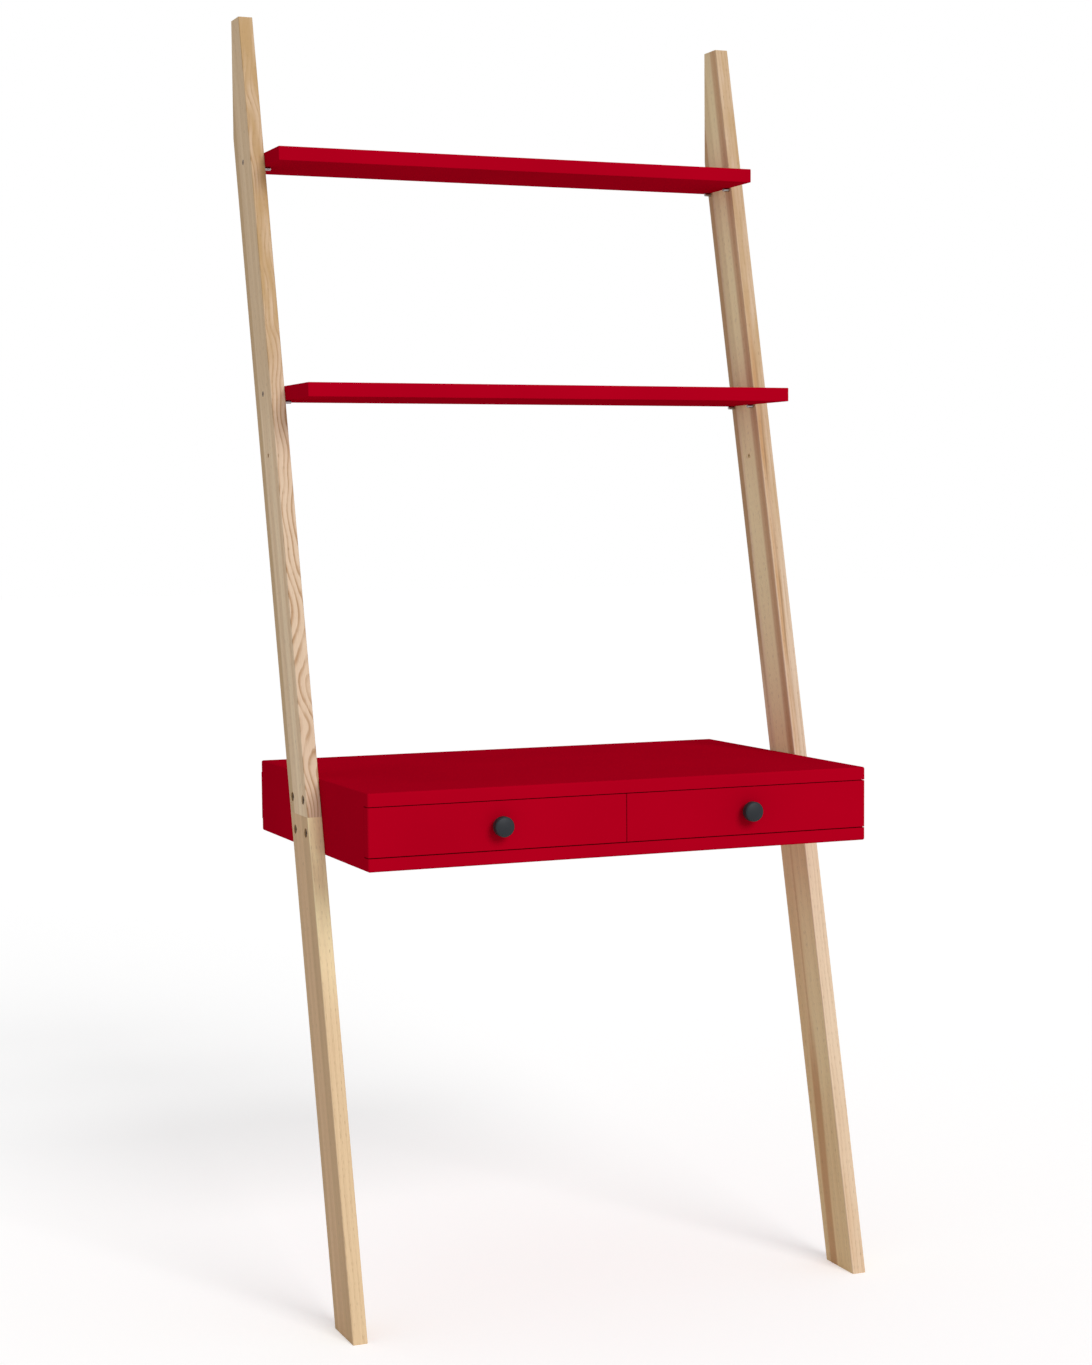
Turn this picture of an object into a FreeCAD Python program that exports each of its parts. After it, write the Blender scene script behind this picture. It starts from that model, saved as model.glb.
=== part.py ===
"""Ladder desk: two leaning wooden uprights carry two shelves and a desk case with two drawers.

Millimetres. +X runs to the right, +Y towards the wall and +Z up. The origin lies on the floor,
midway between the uprights and midway between the fronts of the knobs and the wall.
The wall itself isn't modelled: the uprights' upper ends are cut upright to lie flat on it.
"""

import FreeCAD
import Part
import math
import os

V = FreeCAD.Vector
LEFT, RIGHT = -1, 1
HANDS = {"left": LEFT, "right": RIGHT}

# ---------------------------------------------------------------- whole desk
overall_width = 790.0  # across the outer faces of the uprights
overall_height = 1834.0  # floor to the uprights' upper ends

# ---------------------------------------------------------------- uprights
lean_angle = 13.5  # degrees from the vertical, upper ends towards the wall
post_thickness = 21.0  # across the desk
post_depth = 78.0  # square to the upright's length
wall_cut_length = 169.0  # upright cut at the upper end of the back edge, flat on the wall
post_edge_round = 1.5
spare_hole_drop = 98.0  # lower shelf's upper face to the hole
spare_hole_radius = 3.25

# ---------------------------------------------------------------- desk case
desk_height = 750.0  # floor to the writing surface
case_height = 105.0
case_depth = 497.0
case_wall_gap = 14.0  # back of the case to the wall
case_board = 18.0  # thickness of the case's boards
case_edge_round = 2.8  # outer edges of the case

# ---------------------------------------------------------------- shelves
shelf_board = 20.0
shelf_edge_round = 1.0
upper_shelf_drop = 199.0  # ends of the uprights to its upper face
shelf_spacing = 337.0  # from upper face to upper face
lower_shelf_depth = 193.0
upper_shelf_depth = 153.0

# ---------------------------------------------------------------- drawers
front_board = 16.0
front_edge_round = 0.8  # edges of a drawer front along its gaps
front_reveal = 1.2  # gap above and below a drawer front
front_parting = 0.8  # gap between the two drawer fronts
front_standoff = 0.4  # gap behind a drawer front
drawer_board = 12.0  # sides and back
drawer_back_gap = 23.0  # drawer to the case's back panel
drawer_lift = 10.0  # case bottom board to the drawer sides
drawer_top_gap = 9.0  # drawer sides to the case's top board
bottom_sheet = 3.0
groove_depth = 5.0
groove_lift = 8.0  # lower edge of a side to the bottom sheet
groove_play = 0.2
drawer_kept = 100.0  # length of a drawer that stays in the case at full travel
side_edge_round = 1.5

# ---------------------------------------------------------------- knobs
knob_radius = 14.0
knob_projection = 22.0
knob_neck = 8.0  # drawer front to the back of the cap
knob_neck_radius = 7.5
knob_waist_radius = 6.5
knob_dome = 2.4  # rise of the domed face
knob_front_round = 3.5
knob_back_round = 2.5
knob_thread_depth = 12.0

# ---------------------------------------------------------------- roller runners
runner_space = 13.0  # bay wall to drawer side
runner_metal = 1.2
bend_round = 1.0  # outside of the runners' bends
runner_inset = 2.0  # front edge of the bay wall to the runner
runner_back_gap = 9.5  # runner to the case's back panel
track_height = 12.0  # case bottom board to the track that the rear rollers run on
channel_clear = 17.0  # between the flanges of the case member
channel_gap = 1.2  # ends of the case member's flanges to the drawer member's web
channel_mouth = 26.0  # the upper flange starts this far back, to let the drawer in
web_upstand = 6.8  # case member's web above its upper flange
support_reach = 8.0  # drawer member's flange under the drawer side
front_roller_radius = 7.0
rear_roller_radius = 8.0
roller_side_gap = 2.3  # web of either member to a roller
roller_play = 0.2  # beside a roller
roller_chamfer = 0.6
axle_radius = 2.5
axle_clearance = 0.05
axle_head_radius = 3.5
axle_head = 0.7
front_axle_inset = 11.0  # front end of the case member to its axle
rear_axle_inset = 10.0  # rear end of the drawer member to its axle
running_gap = 0.3  # roller to the flange that runs on it or under it
stop_height = 3.0  # tab on the track that the rear roller meets at full travel

# ---------------------------------------------------------------- fasteners
fastener_clearance = 0.05  # round a fastener in its hole
end_play = 0.5  # past the end of a fastener in a blind hole
bolt_radius = 3.0
bolt_in_insert = 10.0
bolt_head_radius = 5.75
bolt_head = 4.5
bolt_socket = 4.0  # across the flats
bolt_socket_depth = 2.5
bolt_hole_radius = 3.25
counterbore_radius = 6.5
counterbore_depth = 6.0
bolt_rise = 22.5  # above and below the join of an upright
bolt_edge = 15.6  # edge of an upright to a bolt, measured level
insert_radius = 5.0
insert_length = 13.0
shelf_screw_radius = 2.5
shelf_screw_length = 50.0
shelf_screw_head_radius = 4.0
shelf_screw_cone = 2.4
pin_radius = 2.5
pin_in_post = 9.0
pin_under_shelf = 10.0
pin_edge = 8.1  # edge of an upright to a pin, measured level
pin_chamfer = 0.5
dowel_radius = 4.0
dowel_length = 30.0
dowel_in_board = 10.0  # the part of a dowel that stands in the top, bottom or back board
post_dowel_spread = 12.0
connector_radius = 3.5  # screws that rise through the bottom board
connector_length = 45.0
connector_head_radius = 5.0
connector_cone = 2.5
joint_inset = 45.0  # ends of a panel to its first fitting
joint_pitch = 32.0  # fitting to the dowel beside it
back_joint_x = 230.0
case_cam = {"radius": 7.5, "depth": 12.5, "reach": 24.0, "thread": 11.0, "bolt": 3.0, "head": 3.5}
drawer_cam = {"radius": 6.0, "depth": 9.5, "reach": 20.0, "thread": 9.0, "bolt": 2.5, "head": 3.0}
drawer_dowel_radius = 3.0
drawer_dowel_length = 24.0
drawer_dowel_spread = 13.0  # above and below the cam bolt
wood_screw_radius = 1.75
wood_screw_head_radius = 3.3
wood_screw_cone = 1.6
back_screw_length = 30.0
runner_screw_length = 12.0
runner_screw_head = 1.8
runner_screw_stagger = 6.0  # lets screws from both faces of the divider pass each other
runner_screw_inset = 75.0
support_screw_length = 16.0
support_screw_offset = 4.0  # outer face of a drawer side to the screws in its lower edge
support_screw_inset = 60.0
knob_screw_radius = 2.0
knob_screw_head_radius = 4.0
knob_screw_head = 2.2
knob_screw_in_knob = 10.0

# ---------------------------------------------------------------- places worked out from the sizes
same_place = 0.01  # how near to a place an edge lies that belongs to it
overall_depth = case_wall_gap + case_depth + knob_projection
wall_y = overall_depth / 2
lean = math.tan(math.radians(lean_angle))
post_run = post_depth / math.cos(math.radians(lean_angle))  # depth of an upright measured level
post_inner = overall_width / 2 - post_thickness
wall_cut_z = overall_height - wall_cut_length  # where the upright's back meets the wall
foot_front_y = wall_y - post_run - wall_cut_z * lean
upper_shelf_z = overall_height - upper_shelf_drop
lower_shelf_z = upper_shelf_z - shelf_spacing
spare_hole_z = lower_shelf_z - spare_hole_drop
bolt_spread = post_run / 2 - bolt_edge
pin_spread = post_run / 2 - pin_edge
bolt_length = post_thickness - counterbore_depth + bolt_in_insert
case_back_y = wall_y - case_wall_gap
case_front_y = case_back_y - case_depth
case_bottom_z = desk_height - case_height
join_z = desk_height - case_height / 2  # the uprights' butt joints, behind the middle of the case
bay_floor = case_bottom_z + case_board
bay_ceiling = desk_height - case_board
front_back_y = case_front_y + front_board
panel_front_y = front_back_y + front_standoff
panel_back_y = case_back_y - case_board
bay_outer = post_inner - case_board
bay_inner = case_board / 2
side_bottom_z = bay_floor + drawer_lift
side_top_z = bay_ceiling - drawer_top_gap
sheet_z = side_bottom_z + groove_lift
drawer_joint_z = (sheet_z + bottom_sheet + side_top_z) / 2  # cam bolts between front and sides
drawer_back_y = panel_back_y - drawer_back_gap
drawer_travel = drawer_back_y - front_back_y - drawer_kept
knob_x = (post_inner + front_parting / 2) / 2
knob_z = (bay_floor + bay_ceiling) / 2
joint_ys = (panel_front_y + joint_inset, panel_back_y - joint_inset)
track_z = bay_floor + track_height
runner_front_y = panel_front_y + runner_inset
runner_back_y = panel_back_y - runner_back_gap
channel_reach = runner_space - runner_metal - channel_gap  # bay wall to the ends of the flanges
roller_offset = runner_metal + roller_side_gap  # bay wall to a roller
roller_width = runner_space - 2 * roller_offset
front_axle_y = runner_front_y + front_axle_inset
front_axle_z = track_z + running_gap + front_roller_radius
rear_axle_y = drawer_back_y - rear_axle_inset
rear_axle_z = track_z + running_gap + rear_roller_radius
running_z = front_axle_z + front_roller_radius + running_gap
shelves = {
    "lower": (lower_shelf_z, lower_shelf_depth),
    "upper": (upper_shelf_z, upper_shelf_depth),
}


def post_front(z):
    return foot_front_y + z * lean


def post_rear(z):
    return post_front(z) + post_run


def post_middle(z):
    return post_front(z) + post_run / 2


# ---------------------------------------------------------------- shapes that several pieces use
def block(x_a, x_b, y_a, y_b, z_a, z_b):
    """A box between two x, two y and two z values, given in any order."""
    corner = V(min(x_a, x_b), min(y_a, y_b), min(z_a, z_b))
    return Part.makeBox(abs(x_b - x_a), abs(y_b - y_a), abs(z_b - z_a), corner)


def rod(radius, start, end):
    """A cylinder from one point to another."""
    return Part.makeCylinder(radius, (end - start).Length, start, end - start)


def stood(solid, start, axis):
    """Moves a solid made about +Z to where it starts and turns it to its axis."""
    solid.Placement = FreeCAD.Placement(start, FreeCAD.Rotation(V(0, 0, 1), axis))
    return solid


def turned(outline, start, axis):
    """Revolves (radius, distance along the axis) pairs that begin and end on the axis."""
    corners = [V(radius, 0, distance) for radius, distance in outline]
    solid = Part.Face(Part.makePolygon(corners + corners[:1])).revolve(V(0, 0, 0), V(0, 0, 1), 360)
    return stood(solid, start, axis)


def rounded(solid, radius, choose=lambda edge: True):
    """Rounds the edges that choose() picks."""
    return solid.makeFillet(radius, [edge for edge in solid.Edges if choose(edge)])


def level_at(z):
    """Picks the edges that lie at one height."""

    def picks(edge):
        box = edge.BoundBox
        return max(abs(box.ZMin - z), abs(box.ZMax - z)) < same_place

    return picks


def runs_at(x, z):
    """Picks the edges that run front to back at one x and height."""

    def picks(edge):
        box = edge.BoundBox
        return level_at(z)(edge) and max(abs(box.XMin - x), abs(box.XMax - x)) < same_place

    return picks


def cut(solid, tools):
    return solid.cut(tools) if tools else solid


def group(solids):
    """Separate solids that share one node."""
    return Part.makeCompound(solids)


def dowel_hole(radius, start, end):
    """The hole for a dowel, with a little room past both ends."""
    spare = (end - start).normalize() * end_play
    return rod(radius + fastener_clearance, start - spare, end + spare)


def sunk_screw(face, into, head_radius, cone, radius, length, grow=0.0):
    """A countersunk screw whose head lies flush in a face. With grow it is the screw's hole."""
    tip = length + (end_play if grow else 0.0)
    outline = [
        (0, 0),
        (head_radius + grow, 0),
        (radius + grow, cone),
        (radius + grow, tip),
        (0, tip),
    ]
    return turned(outline, face, into)


def pan_screw(seat, into, head_radius, head, radius, length):
    """A screw whose head stands on a face."""
    outline = [
        (0, -head),
        (head_radius, -head),
        (head_radius, 0),
        (radius, 0),
        (radius, length),
        (0, length),
    ]
    return turned(outline, seat, into)


def pan_screw_hole(seat, into, radius, length):
    return rod(radius + fastener_clearance, seat, seat + into * (length + end_play))


def cam_fitting(kind, seam, along, into, face_distance):
    """A cam lock and its bolt.

    The bolt is screwed into one board, crosses the seam between the boards and ends in the cam,
    which is let into the face of the other board. Returns the cam, its bolt and their holes.
    """
    centre = seam + along * kind["reach"]
    mouth = centre - into * face_distance
    head_half = kind["head"]
    bolt_start = seam - along * kind["thread"]
    head_start = (centre - bolt_start).Length - head_half
    bolt_end = head_start + 2 * head_half
    bolt = turned(
        [
            (0, 0),
            (kind["bolt"], 0),
            (kind["bolt"], head_start),
            (kind["head"], head_start),
            (kind["head"], bolt_end),
            (0, bolt_end),
        ],
        bolt_start,
        along,
    )
    bolt_hole = rod(kind["head"] + fastener_clearance, seam, centre + along * (head_half + end_play))
    thread_radius = kind["bolt"] + fastener_clearance
    thread_hole = rod(thread_radius, bolt_start - along * end_play, seam)
    cam = rod(kind["radius"], mouth, mouth + into * kind["depth"]).cut(bolt_hole)
    hole_radius = kind["radius"] + fastener_clearance
    pocket = rod(hole_radius, mouth, mouth + into * (kind["depth"] + end_play))
    return {"cam": cam, "bolt": bolt, "panel_holes": [bolt_hole, pocket], "board_hole": thread_hole}


# ---------------------------------------------------------------- where the uprights are fastened
def frame_bolt_places(above):
    """(y, z) of the two frame bolts above or below an upright's join."""
    z = join_z + bolt_rise if above else join_z - bolt_rise
    return [(post_middle(z) + spread, z) for spread in (-bolt_spread, bolt_spread)]


def shelf_screw_place(level):
    top, _ = shelves[level]
    z = top - shelf_board / 2
    return post_middle(z), z


def shelf_pin_places(level):
    """(y, z) of the two pins under one end of a shelf."""
    top, _ = shelves[level]
    z = top - shelf_board - pin_radius - fastener_clearance
    return [(post_middle(z) + spread, z) for spread in (-pin_spread, pin_spread)]


def post_dowel_ends(hand):
    """Lower and upper ends of the two dowels in an upright's butt joint."""
    x = hand * (post_inner + post_thickness / 2)
    half = V(0, 0, dowel_length / 2)
    middles = [V(x, post_middle(join_z) + shift, join_z) for shift in (-post_dowel_spread, post_dowel_spread)]
    return [(middle - half, middle + half) for middle in middles]


# ---------------------------------------------------------------- uprights
def upright_blank(hand):
    """The whole leaning upright, its back cut upright where it meets the wall."""
    x = hand * post_inner
    profile = [
        (post_front(0), 0),
        (post_rear(0), 0),
        (wall_y, wall_cut_z),
        (wall_y, overall_height),
        (post_front(overall_height), overall_height),
    ]
    corners = [V(x, y, z) for y, z in profile]
    face = Part.Face(Part.makePolygon(corners + corners[:1]))
    blank = face.extrude(V(hand * post_thickness, 0, 0))

    def runs_up(edge):
        a, b = edge.Vertexes[0].Point, edge.Vertexes[1].Point
        return abs(a.z - b.z) > post_thickness

    return rounded(blank, post_edge_round, runs_up)


def frame_bolt_holes(hand, above):
    """Counterbored holes that take the frame bolts."""
    outer, inner = hand * overall_width / 2, hand * post_inner
    floor = outer - hand * counterbore_depth
    holes = []
    for y, z in frame_bolt_places(above):
        holes.append(rod(counterbore_radius, V(outer, y, z), V(floor, y, z)))
        holes.append(rod(bolt_hole_radius, V(floor, y, z), V(inner, y, z)))
    return holes


def shelf_holes(hand):
    """In an upper post: a screw hole and two blind pin holes for each shelf."""
    outer, inner = hand * overall_width / 2, hand * post_inner
    holes = []
    for level in shelves:
        y, z = shelf_screw_place(level)
        holes.append(shelf_screw(V(outer, y, z), V(-hand, 0, 0), fastener_clearance))
        for y, z in shelf_pin_places(level):
            bottom = V(inner + hand * (pin_in_post + end_play), y, z)
            holes.append(rod(pin_radius + fastener_clearance, V(inner, y, z), bottom))
    return holes


def spare_hole(hand):
    """A through hole between desk and lower shelf."""
    y = post_middle(spare_hole_z)
    ends = [V(hand * x, y, spare_hole_z) for x in (post_inner, overall_width / 2)]
    return rod(spare_hole_radius, *ends)


def upper_post(hand):
    above = block(-overall_width, overall_width, -overall_depth, overall_depth, join_z, overall_height)
    holes = frame_bolt_holes(hand, True) + shelf_holes(hand) + [spare_hole(hand)]
    holes += [dowel_hole(dowel_radius, *ends) for ends in post_dowel_ends(hand)]
    return upright_blank(hand).common(above).cut(holes)


def lower_leg(hand):
    below = block(-overall_width, overall_width, -overall_depth, overall_depth, 0, join_z)
    holes = frame_bolt_holes(hand, False)
    holes += [dowel_hole(dowel_radius, *ends) for ends in post_dowel_ends(hand)]
    return upright_blank(hand).common(below).cut(holes)


# ---------------------------------------------------------------- fasteners of the uprights
def frame_bolt(hand, y, z):
    """A bolt with a hexagon socket, its head sunk in the counterbore."""
    seat = V(hand * (overall_width / 2 - counterbore_depth), y, z)
    into = V(-hand, 0, 0)
    top = seat - into * bolt_head
    bolt = rod(bolt_head_radius, top, seat).fuse(rod(bolt_radius, seat, seat + into * bolt_length))
    across = bolt_socket / math.sqrt(3)
    corners = []
    for step in range(6):
        angle = math.radians(60 * step)
        corners.append(top + V(0, across * math.cos(angle), across * math.sin(angle)))
    socket = Part.Face(Part.makePolygon(corners + corners[:1])).extrude(into * bolt_socket_depth)
    return bolt.cut(socket).removeSplitter()


def frame_insert(hand, y, z):
    """A threaded insert in a side panel, in line with a frame bolt."""
    start = V(hand * post_inner, y, z)
    end = start - V(hand * insert_length, 0, 0)
    return rod(insert_radius, start, end).cut(rod(bolt_radius + fastener_clearance, start, end))


def insert_hole(hand, y, z):
    start = V(hand * post_inner, y, z)
    end = start - V(hand * (insert_length + end_play), 0, 0)
    return rod(insert_radius + fastener_clearance, start, end)


def all_frame_bolt_places():
    return frame_bolt_places(True) + frame_bolt_places(False)


def shelf_screw(face, into, grow=0.0):
    sizes = (shelf_screw_head_radius, shelf_screw_cone, shelf_screw_radius, shelf_screw_length)
    return sunk_screw(face, into, *sizes, grow)


def shelf_pin(hand, y, z):
    inner = hand * post_inner
    start = V(inner + hand * pin_in_post, y, z)
    end = V(inner - hand * pin_under_shelf, y, z)
    length = (end - start).Length
    outline = [
        (0, 0),
        (pin_radius, 0),
        (pin_radius, length - pin_chamfer),
        (pin_radius - pin_chamfer, length),
        (0, length),
    ]
    return turned(outline, start, end - start)


# ---------------------------------------------------------------- shelves
def shelf(level):
    """A board between the uprights, its back edge in line with theirs."""
    top, depth = shelves[level]
    back = post_rear(top)
    board = block(-post_inner, post_inner, back - depth, back, top - shelf_board, top)
    y, z = shelf_screw_place(level)
    holes = []
    for hand in HANDS.values():
        face = V(hand * overall_width / 2, y, z)
        holes.append(shelf_screw(face, V(-hand, 0, 0), fastener_clearance))
    return rounded(board, shelf_edge_round).cut(holes)


# ---------------------------------------------------------------- how the case is joined
def panel_columns():
    """The upright panels of the case: where each fitting stands and which way its cam faces."""
    columns = []
    for hand in HANDS.values():
        x = hand * (post_inner - case_board / 2)
        name = "side_panel_left" if hand == LEFT else "side_panel_right"
        for y, step in zip(joint_ys, (joint_pitch, -joint_pitch)):
            columns.append((name, V(x, y, 0), V(0, step, 0), V(hand, 0, 0)))
    for y, step in zip(joint_ys, (joint_pitch, -joint_pitch)):
        columns.append(("centre_divider", V(0, y, 0), V(0, step, 0), V(1, 0, 0)))
    for hand in HANDS.values():
        place = V(hand * back_joint_x, panel_back_y + case_board / 2, 0)
        columns.append(("back_panel", place, V(-hand * joint_pitch, 0, 0), V(0, 1, 0)))
    return columns


def at_height(point, z):
    return V(point.x, point.y, z)


def connector(place, grow=0.0):
    face = at_height(place, case_bottom_z)
    sizes = (connector_head_radius, connector_cone, connector_radius, connector_length)
    return sunk_screw(face, V(0, 0, 1), *sizes, grow)


def upper_dowel_ends(place):
    top = bay_ceiling + dowel_in_board
    return at_height(place, top - dowel_length), at_height(place, top)


def lower_dowel_ends(place):
    bottom = bay_floor - dowel_in_board
    return at_height(place, bottom), at_height(place, bottom + dowel_length)


def back_dowel_ends():
    """Level dowels between the back panel and the panels that meet it."""
    middle = (bay_floor + bay_ceiling) / 2
    y = panel_back_y + case_board / 2
    ends = {}
    for name, hand in HANDS.items():
        start = V(hand * (bay_outer + dowel_in_board), y, middle)
        ends["side_panel_" + name] = (start, start - V(hand * dowel_length, 0, 0))
    start = V(0, panel_back_y + dowel_in_board, middle)
    ends["centre_divider"] = (start, start - V(0, dowel_length, 0))
    return ends


def case_joinery():
    """Every fitting of the case and the holes that it needs, by board."""
    fittings = {"dowels": [], "connectors": [], "cams": [], "cam_bolts": []}
    panels = ("side_panel_left", "side_panel_right", "centre_divider", "back_panel")
    holes = {board: [] for board in ("desk_top", "desk_bottom") + panels}
    for panel, place, step, into in panel_columns():
        seam = at_height(place, bay_ceiling)
        fitting = cam_fitting(case_cam, seam, V(0, 0, -1), into, case_board / 2)
        fittings["cams"].append(fitting["cam"])
        fittings["cam_bolts"].append(fitting["bolt"])
        holes[panel] += fitting["panel_holes"]
        holes["desk_top"].append(fitting["board_hole"])
        fittings["connectors"].append(connector(place))
        for board in (panel, "desk_bottom"):
            holes[board].append(connector(place, fastener_clearance))
        for board, ends in (("desk_top", upper_dowel_ends), ("desk_bottom", lower_dowel_ends)):
            start, end = ends(place + step)
            fittings["dowels"].append(rod(dowel_radius, start, end))
            for bored in (board, panel):
                holes[bored].append(dowel_hole(dowel_radius, start, end))
    for panel, (start, end) in back_dowel_ends().items():
        fittings["dowels"].append(rod(dowel_radius, start, end))
        for bored in (panel, "back_panel"):
            holes[bored].append(dowel_hole(dowel_radius, start, end))
    return fittings, holes


# ---------------------------------------------------------------- desk case
def full_board(low, high, joint_z):
    """A board as wide and deep as the case, rounded except on the face that meets the panels."""
    board = block(-post_inner, post_inner, case_front_y, case_back_y, low, high)
    on_joint = level_at(joint_z)
    return rounded(board, case_edge_round, lambda edge: not on_joint(edge))


def case_boards(holes):
    """The six boards of the case, each with its holes."""
    boards = {
        "desk_top": full_board(bay_ceiling, desk_height, bay_ceiling),
        "desk_bottom": full_board(case_bottom_z, bay_floor, bay_floor),
        "centre_divider": block(-bay_inner, bay_inner, panel_front_y, panel_back_y, bay_floor, bay_ceiling),
        "back_panel": block(-bay_outer, bay_outer, panel_back_y, case_back_y, bay_floor, bay_ceiling),
    }
    for name, hand in HANDS.items():
        sides = (hand * bay_outer, hand * post_inner, panel_front_y, case_back_y)
        boards["side_panel_" + name] = block(*sides, bay_floor, bay_ceiling)
        holes["side_panel_" + name] += [insert_hole(hand, y, z) for y, z in all_frame_bolt_places()]
    for name, hand in HANDS.items():
        holes["side_panel_" + name] += runner_screw_holes(hand, "outer")
        holes["centre_divider"] += runner_screw_holes(hand, "inner")
    return {name: cut(board, holes[name]) for name, board in boards.items()}


# ---------------------------------------------------------------- places beside a drawer
def bay_x(hand, side, distance):
    """The x that lies this far from a wall of a drawer bay, measured towards the drawer."""
    if side == "outer":
        return hand * (bay_outer - distance)
    return hand * (bay_inner + distance)


def towards_drawer(hand, side):
    return V(-hand if side == "outer" else hand, 0, 0)


def beside(hand, side, from_wall, to_wall, y_a, y_b, z_a, z_b):
    """A box beside a drawer, its width given as two distances from the wall of the bay."""
    return block(bay_x(hand, side, from_wall), bay_x(hand, side, to_wall), y_a, y_b, z_a, z_b)


def axle(hand, side, root, tip, y, z):
    """A shouldered axle with a riveted head, from its runner's web to past the roller."""
    points = [V(bay_x(hand, side, distance), y, z) for distance in (root, tip)]
    way = (points[1] - points[0]).normalize()
    length = (points[1] - points[0]).Length
    roller_start = abs(root - (roller_offset if root < tip else roller_offset + roller_width))
    outline = [
        (0, 0),
        (axle_head_radius, 0),
        (axle_head_radius, roller_start - roller_play),
        (axle_radius, roller_start - roller_play),
        (axle_radius, length - axle_head),
        (axle_head_radius, length - axle_head),
        (axle_head_radius, length),
        (0, length),
    ]
    return turned(outline, points[0], way)


# ---------------------------------------------------------------- roller runners
def runner_screw_places(hand, side):
    """Seats of the screws that hold a case member to its wall."""
    x = bay_x(hand, side, runner_metal)
    z = track_z + channel_clear + runner_metal + web_upstand / 2
    middle = (runner_front_y + runner_back_y) / 2
    ys = (runner_front_y + runner_screw_inset, middle, runner_back_y - runner_screw_inset)
    return [V(x, y + hand * runner_screw_stagger, z) for y in ys]


def runner_screw_holes(hand, side):
    into = towards_drawer(hand, side) * -1
    places = runner_screw_places(hand, side)
    return [pan_screw_hole(place, into, wood_screw_radius, runner_screw_length) for place in places]


def case_runner(hand, side):
    """Case member: a channel that the rear roller runs in, with the front roller's axle."""
    channel_top = track_z + channel_clear
    web_top = channel_top + runner_metal + web_upstand
    along = (runner_front_y, runner_back_y)
    web = beside(hand, side, 0, runner_metal, *along, track_z - runner_metal, web_top)
    track = beside(hand, side, 0, channel_reach, *along, track_z - runner_metal, track_z)
    guard_start = runner_front_y + channel_mouth
    guard = beside(
        hand, side, 0, channel_reach, guard_start, runner_back_y, channel_top, channel_top + runner_metal
    )
    head_end = roller_offset + roller_width + roller_play + axle_head
    pin = axle(hand, side, runner_metal, head_end, front_axle_y, front_axle_z)
    reach = math.sqrt(rear_roller_radius**2 - (rear_roller_radius + running_gap - stop_height) ** 2)
    stop_y = rear_axle_y - drawer_travel - reach - running_gap
    stop = beside(
        hand,
        side,
        roller_offset,
        roller_offset + roller_width,
        stop_y - runner_metal,
        stop_y,
        track_z,
        track_z + stop_height,
    )
    member = web.fuse([track, guard, pin, stop]).cut(runner_screw_holes(hand, side)).removeSplitter()
    return rounded(member, bend_round, runs_at(bay_x(hand, side, 0), track_z - runner_metal))


def support_screw_places(hand, side):
    """Heads' seats, under the drawer member's flange."""
    x = bay_x(hand, side, runner_space + support_screw_offset)
    z = side_bottom_z - runner_metal
    ys = (front_back_y + support_screw_inset, drawer_back_y - support_screw_inset)
    return [V(x, y, z) for y in ys]


def support_screw_holes(hand, side):
    up = V(0, 0, 1)
    places = support_screw_places(hand, side)
    return [pan_screw_hole(place, up, wood_screw_radius, support_screw_length) for place in places]


def drawer_runner(hand, side):
    """Drawer member: carries the drawer side, runs on the front roller and holds the rear one."""
    web_face = runner_space - runner_metal
    along = (front_back_y, drawer_back_y)
    low = side_bottom_z - runner_metal
    web = beside(hand, side, web_face, runner_space, *along, low, running_z + runner_metal)
    support_end = runner_space + support_reach
    support = beside(hand, side, web_face, support_end, *along, low, side_bottom_z)
    flange_end = rear_axle_y - rear_roller_radius - 2 * roller_play - runner_metal
    flange_edge = roller_offset - roller_play
    flange = beside(
        hand, side, flange_edge, runner_space, front_back_y, flange_end, running_z, running_z + runner_metal
    )
    head_end = roller_offset - roller_play - axle_head
    pin = axle(hand, side, web_face, head_end, rear_axle_y, rear_axle_z)
    member = web.fuse([support, flange, pin]).cut(support_screw_holes(hand, side)).removeSplitter()
    member = rounded(member, bend_round, runs_at(bay_x(hand, side, web_face), low))
    return rounded(member, bend_round, runs_at(bay_x(hand, side, runner_space), running_z + runner_metal))


def roller(hand, side, radius, y, z):
    ends = [V(bay_x(hand, side, roller_offset + shift), y, z) for shift in (0, roller_width)]
    blank = rod(radius, *ends)
    rims = [edge for edge in blank.Edges if edge.Closed]
    return blank.makeChamfer(roller_chamfer, rims).cut(rod(axle_radius + axle_clearance, *ends))


# ---------------------------------------------------------------- drawers
def drawer_x(hand, side, distance):
    """The x that lies this far inside a drawer side's outer face."""
    return bay_x(hand, side, runner_space + distance)


def drawer_front_fitting(hand, side):
    seam = V(drawer_x(hand, side, drawer_board / 2), front_back_y, drawer_joint_z)
    into = towards_drawer(hand, side) * -1
    return cam_fitting(drawer_cam, seam, V(0, 1, 0), into, drawer_board / 2)


def drawer_dowel_ends(hand, side):
    x = drawer_x(hand, side, drawer_board / 2)
    ends = []
    for shift in (-drawer_dowel_spread, drawer_dowel_spread):
        start = V(x, front_back_y - dowel_in_board, drawer_joint_z + shift)
        ends.append((start, start + V(0, drawer_dowel_length, 0)))
    return ends


def back_screw_places(hand, side):
    """Where the screws that hold a drawer's back enter its side."""
    x = drawer_x(hand, side, 0)
    low = running_z + runner_metal + wood_screw_head_radius
    high = side_top_z - (low - sheet_z - bottom_sheet)
    return [V(x, drawer_back_y - drawer_board / 2, z) for z in (low, high)]


def back_screw(place, into, grow=0.0):
    sizes = (wood_screw_head_radius, wood_screw_cone, wood_screw_radius, back_screw_length)
    return sunk_screw(place, into, *sizes, grow)


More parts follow.
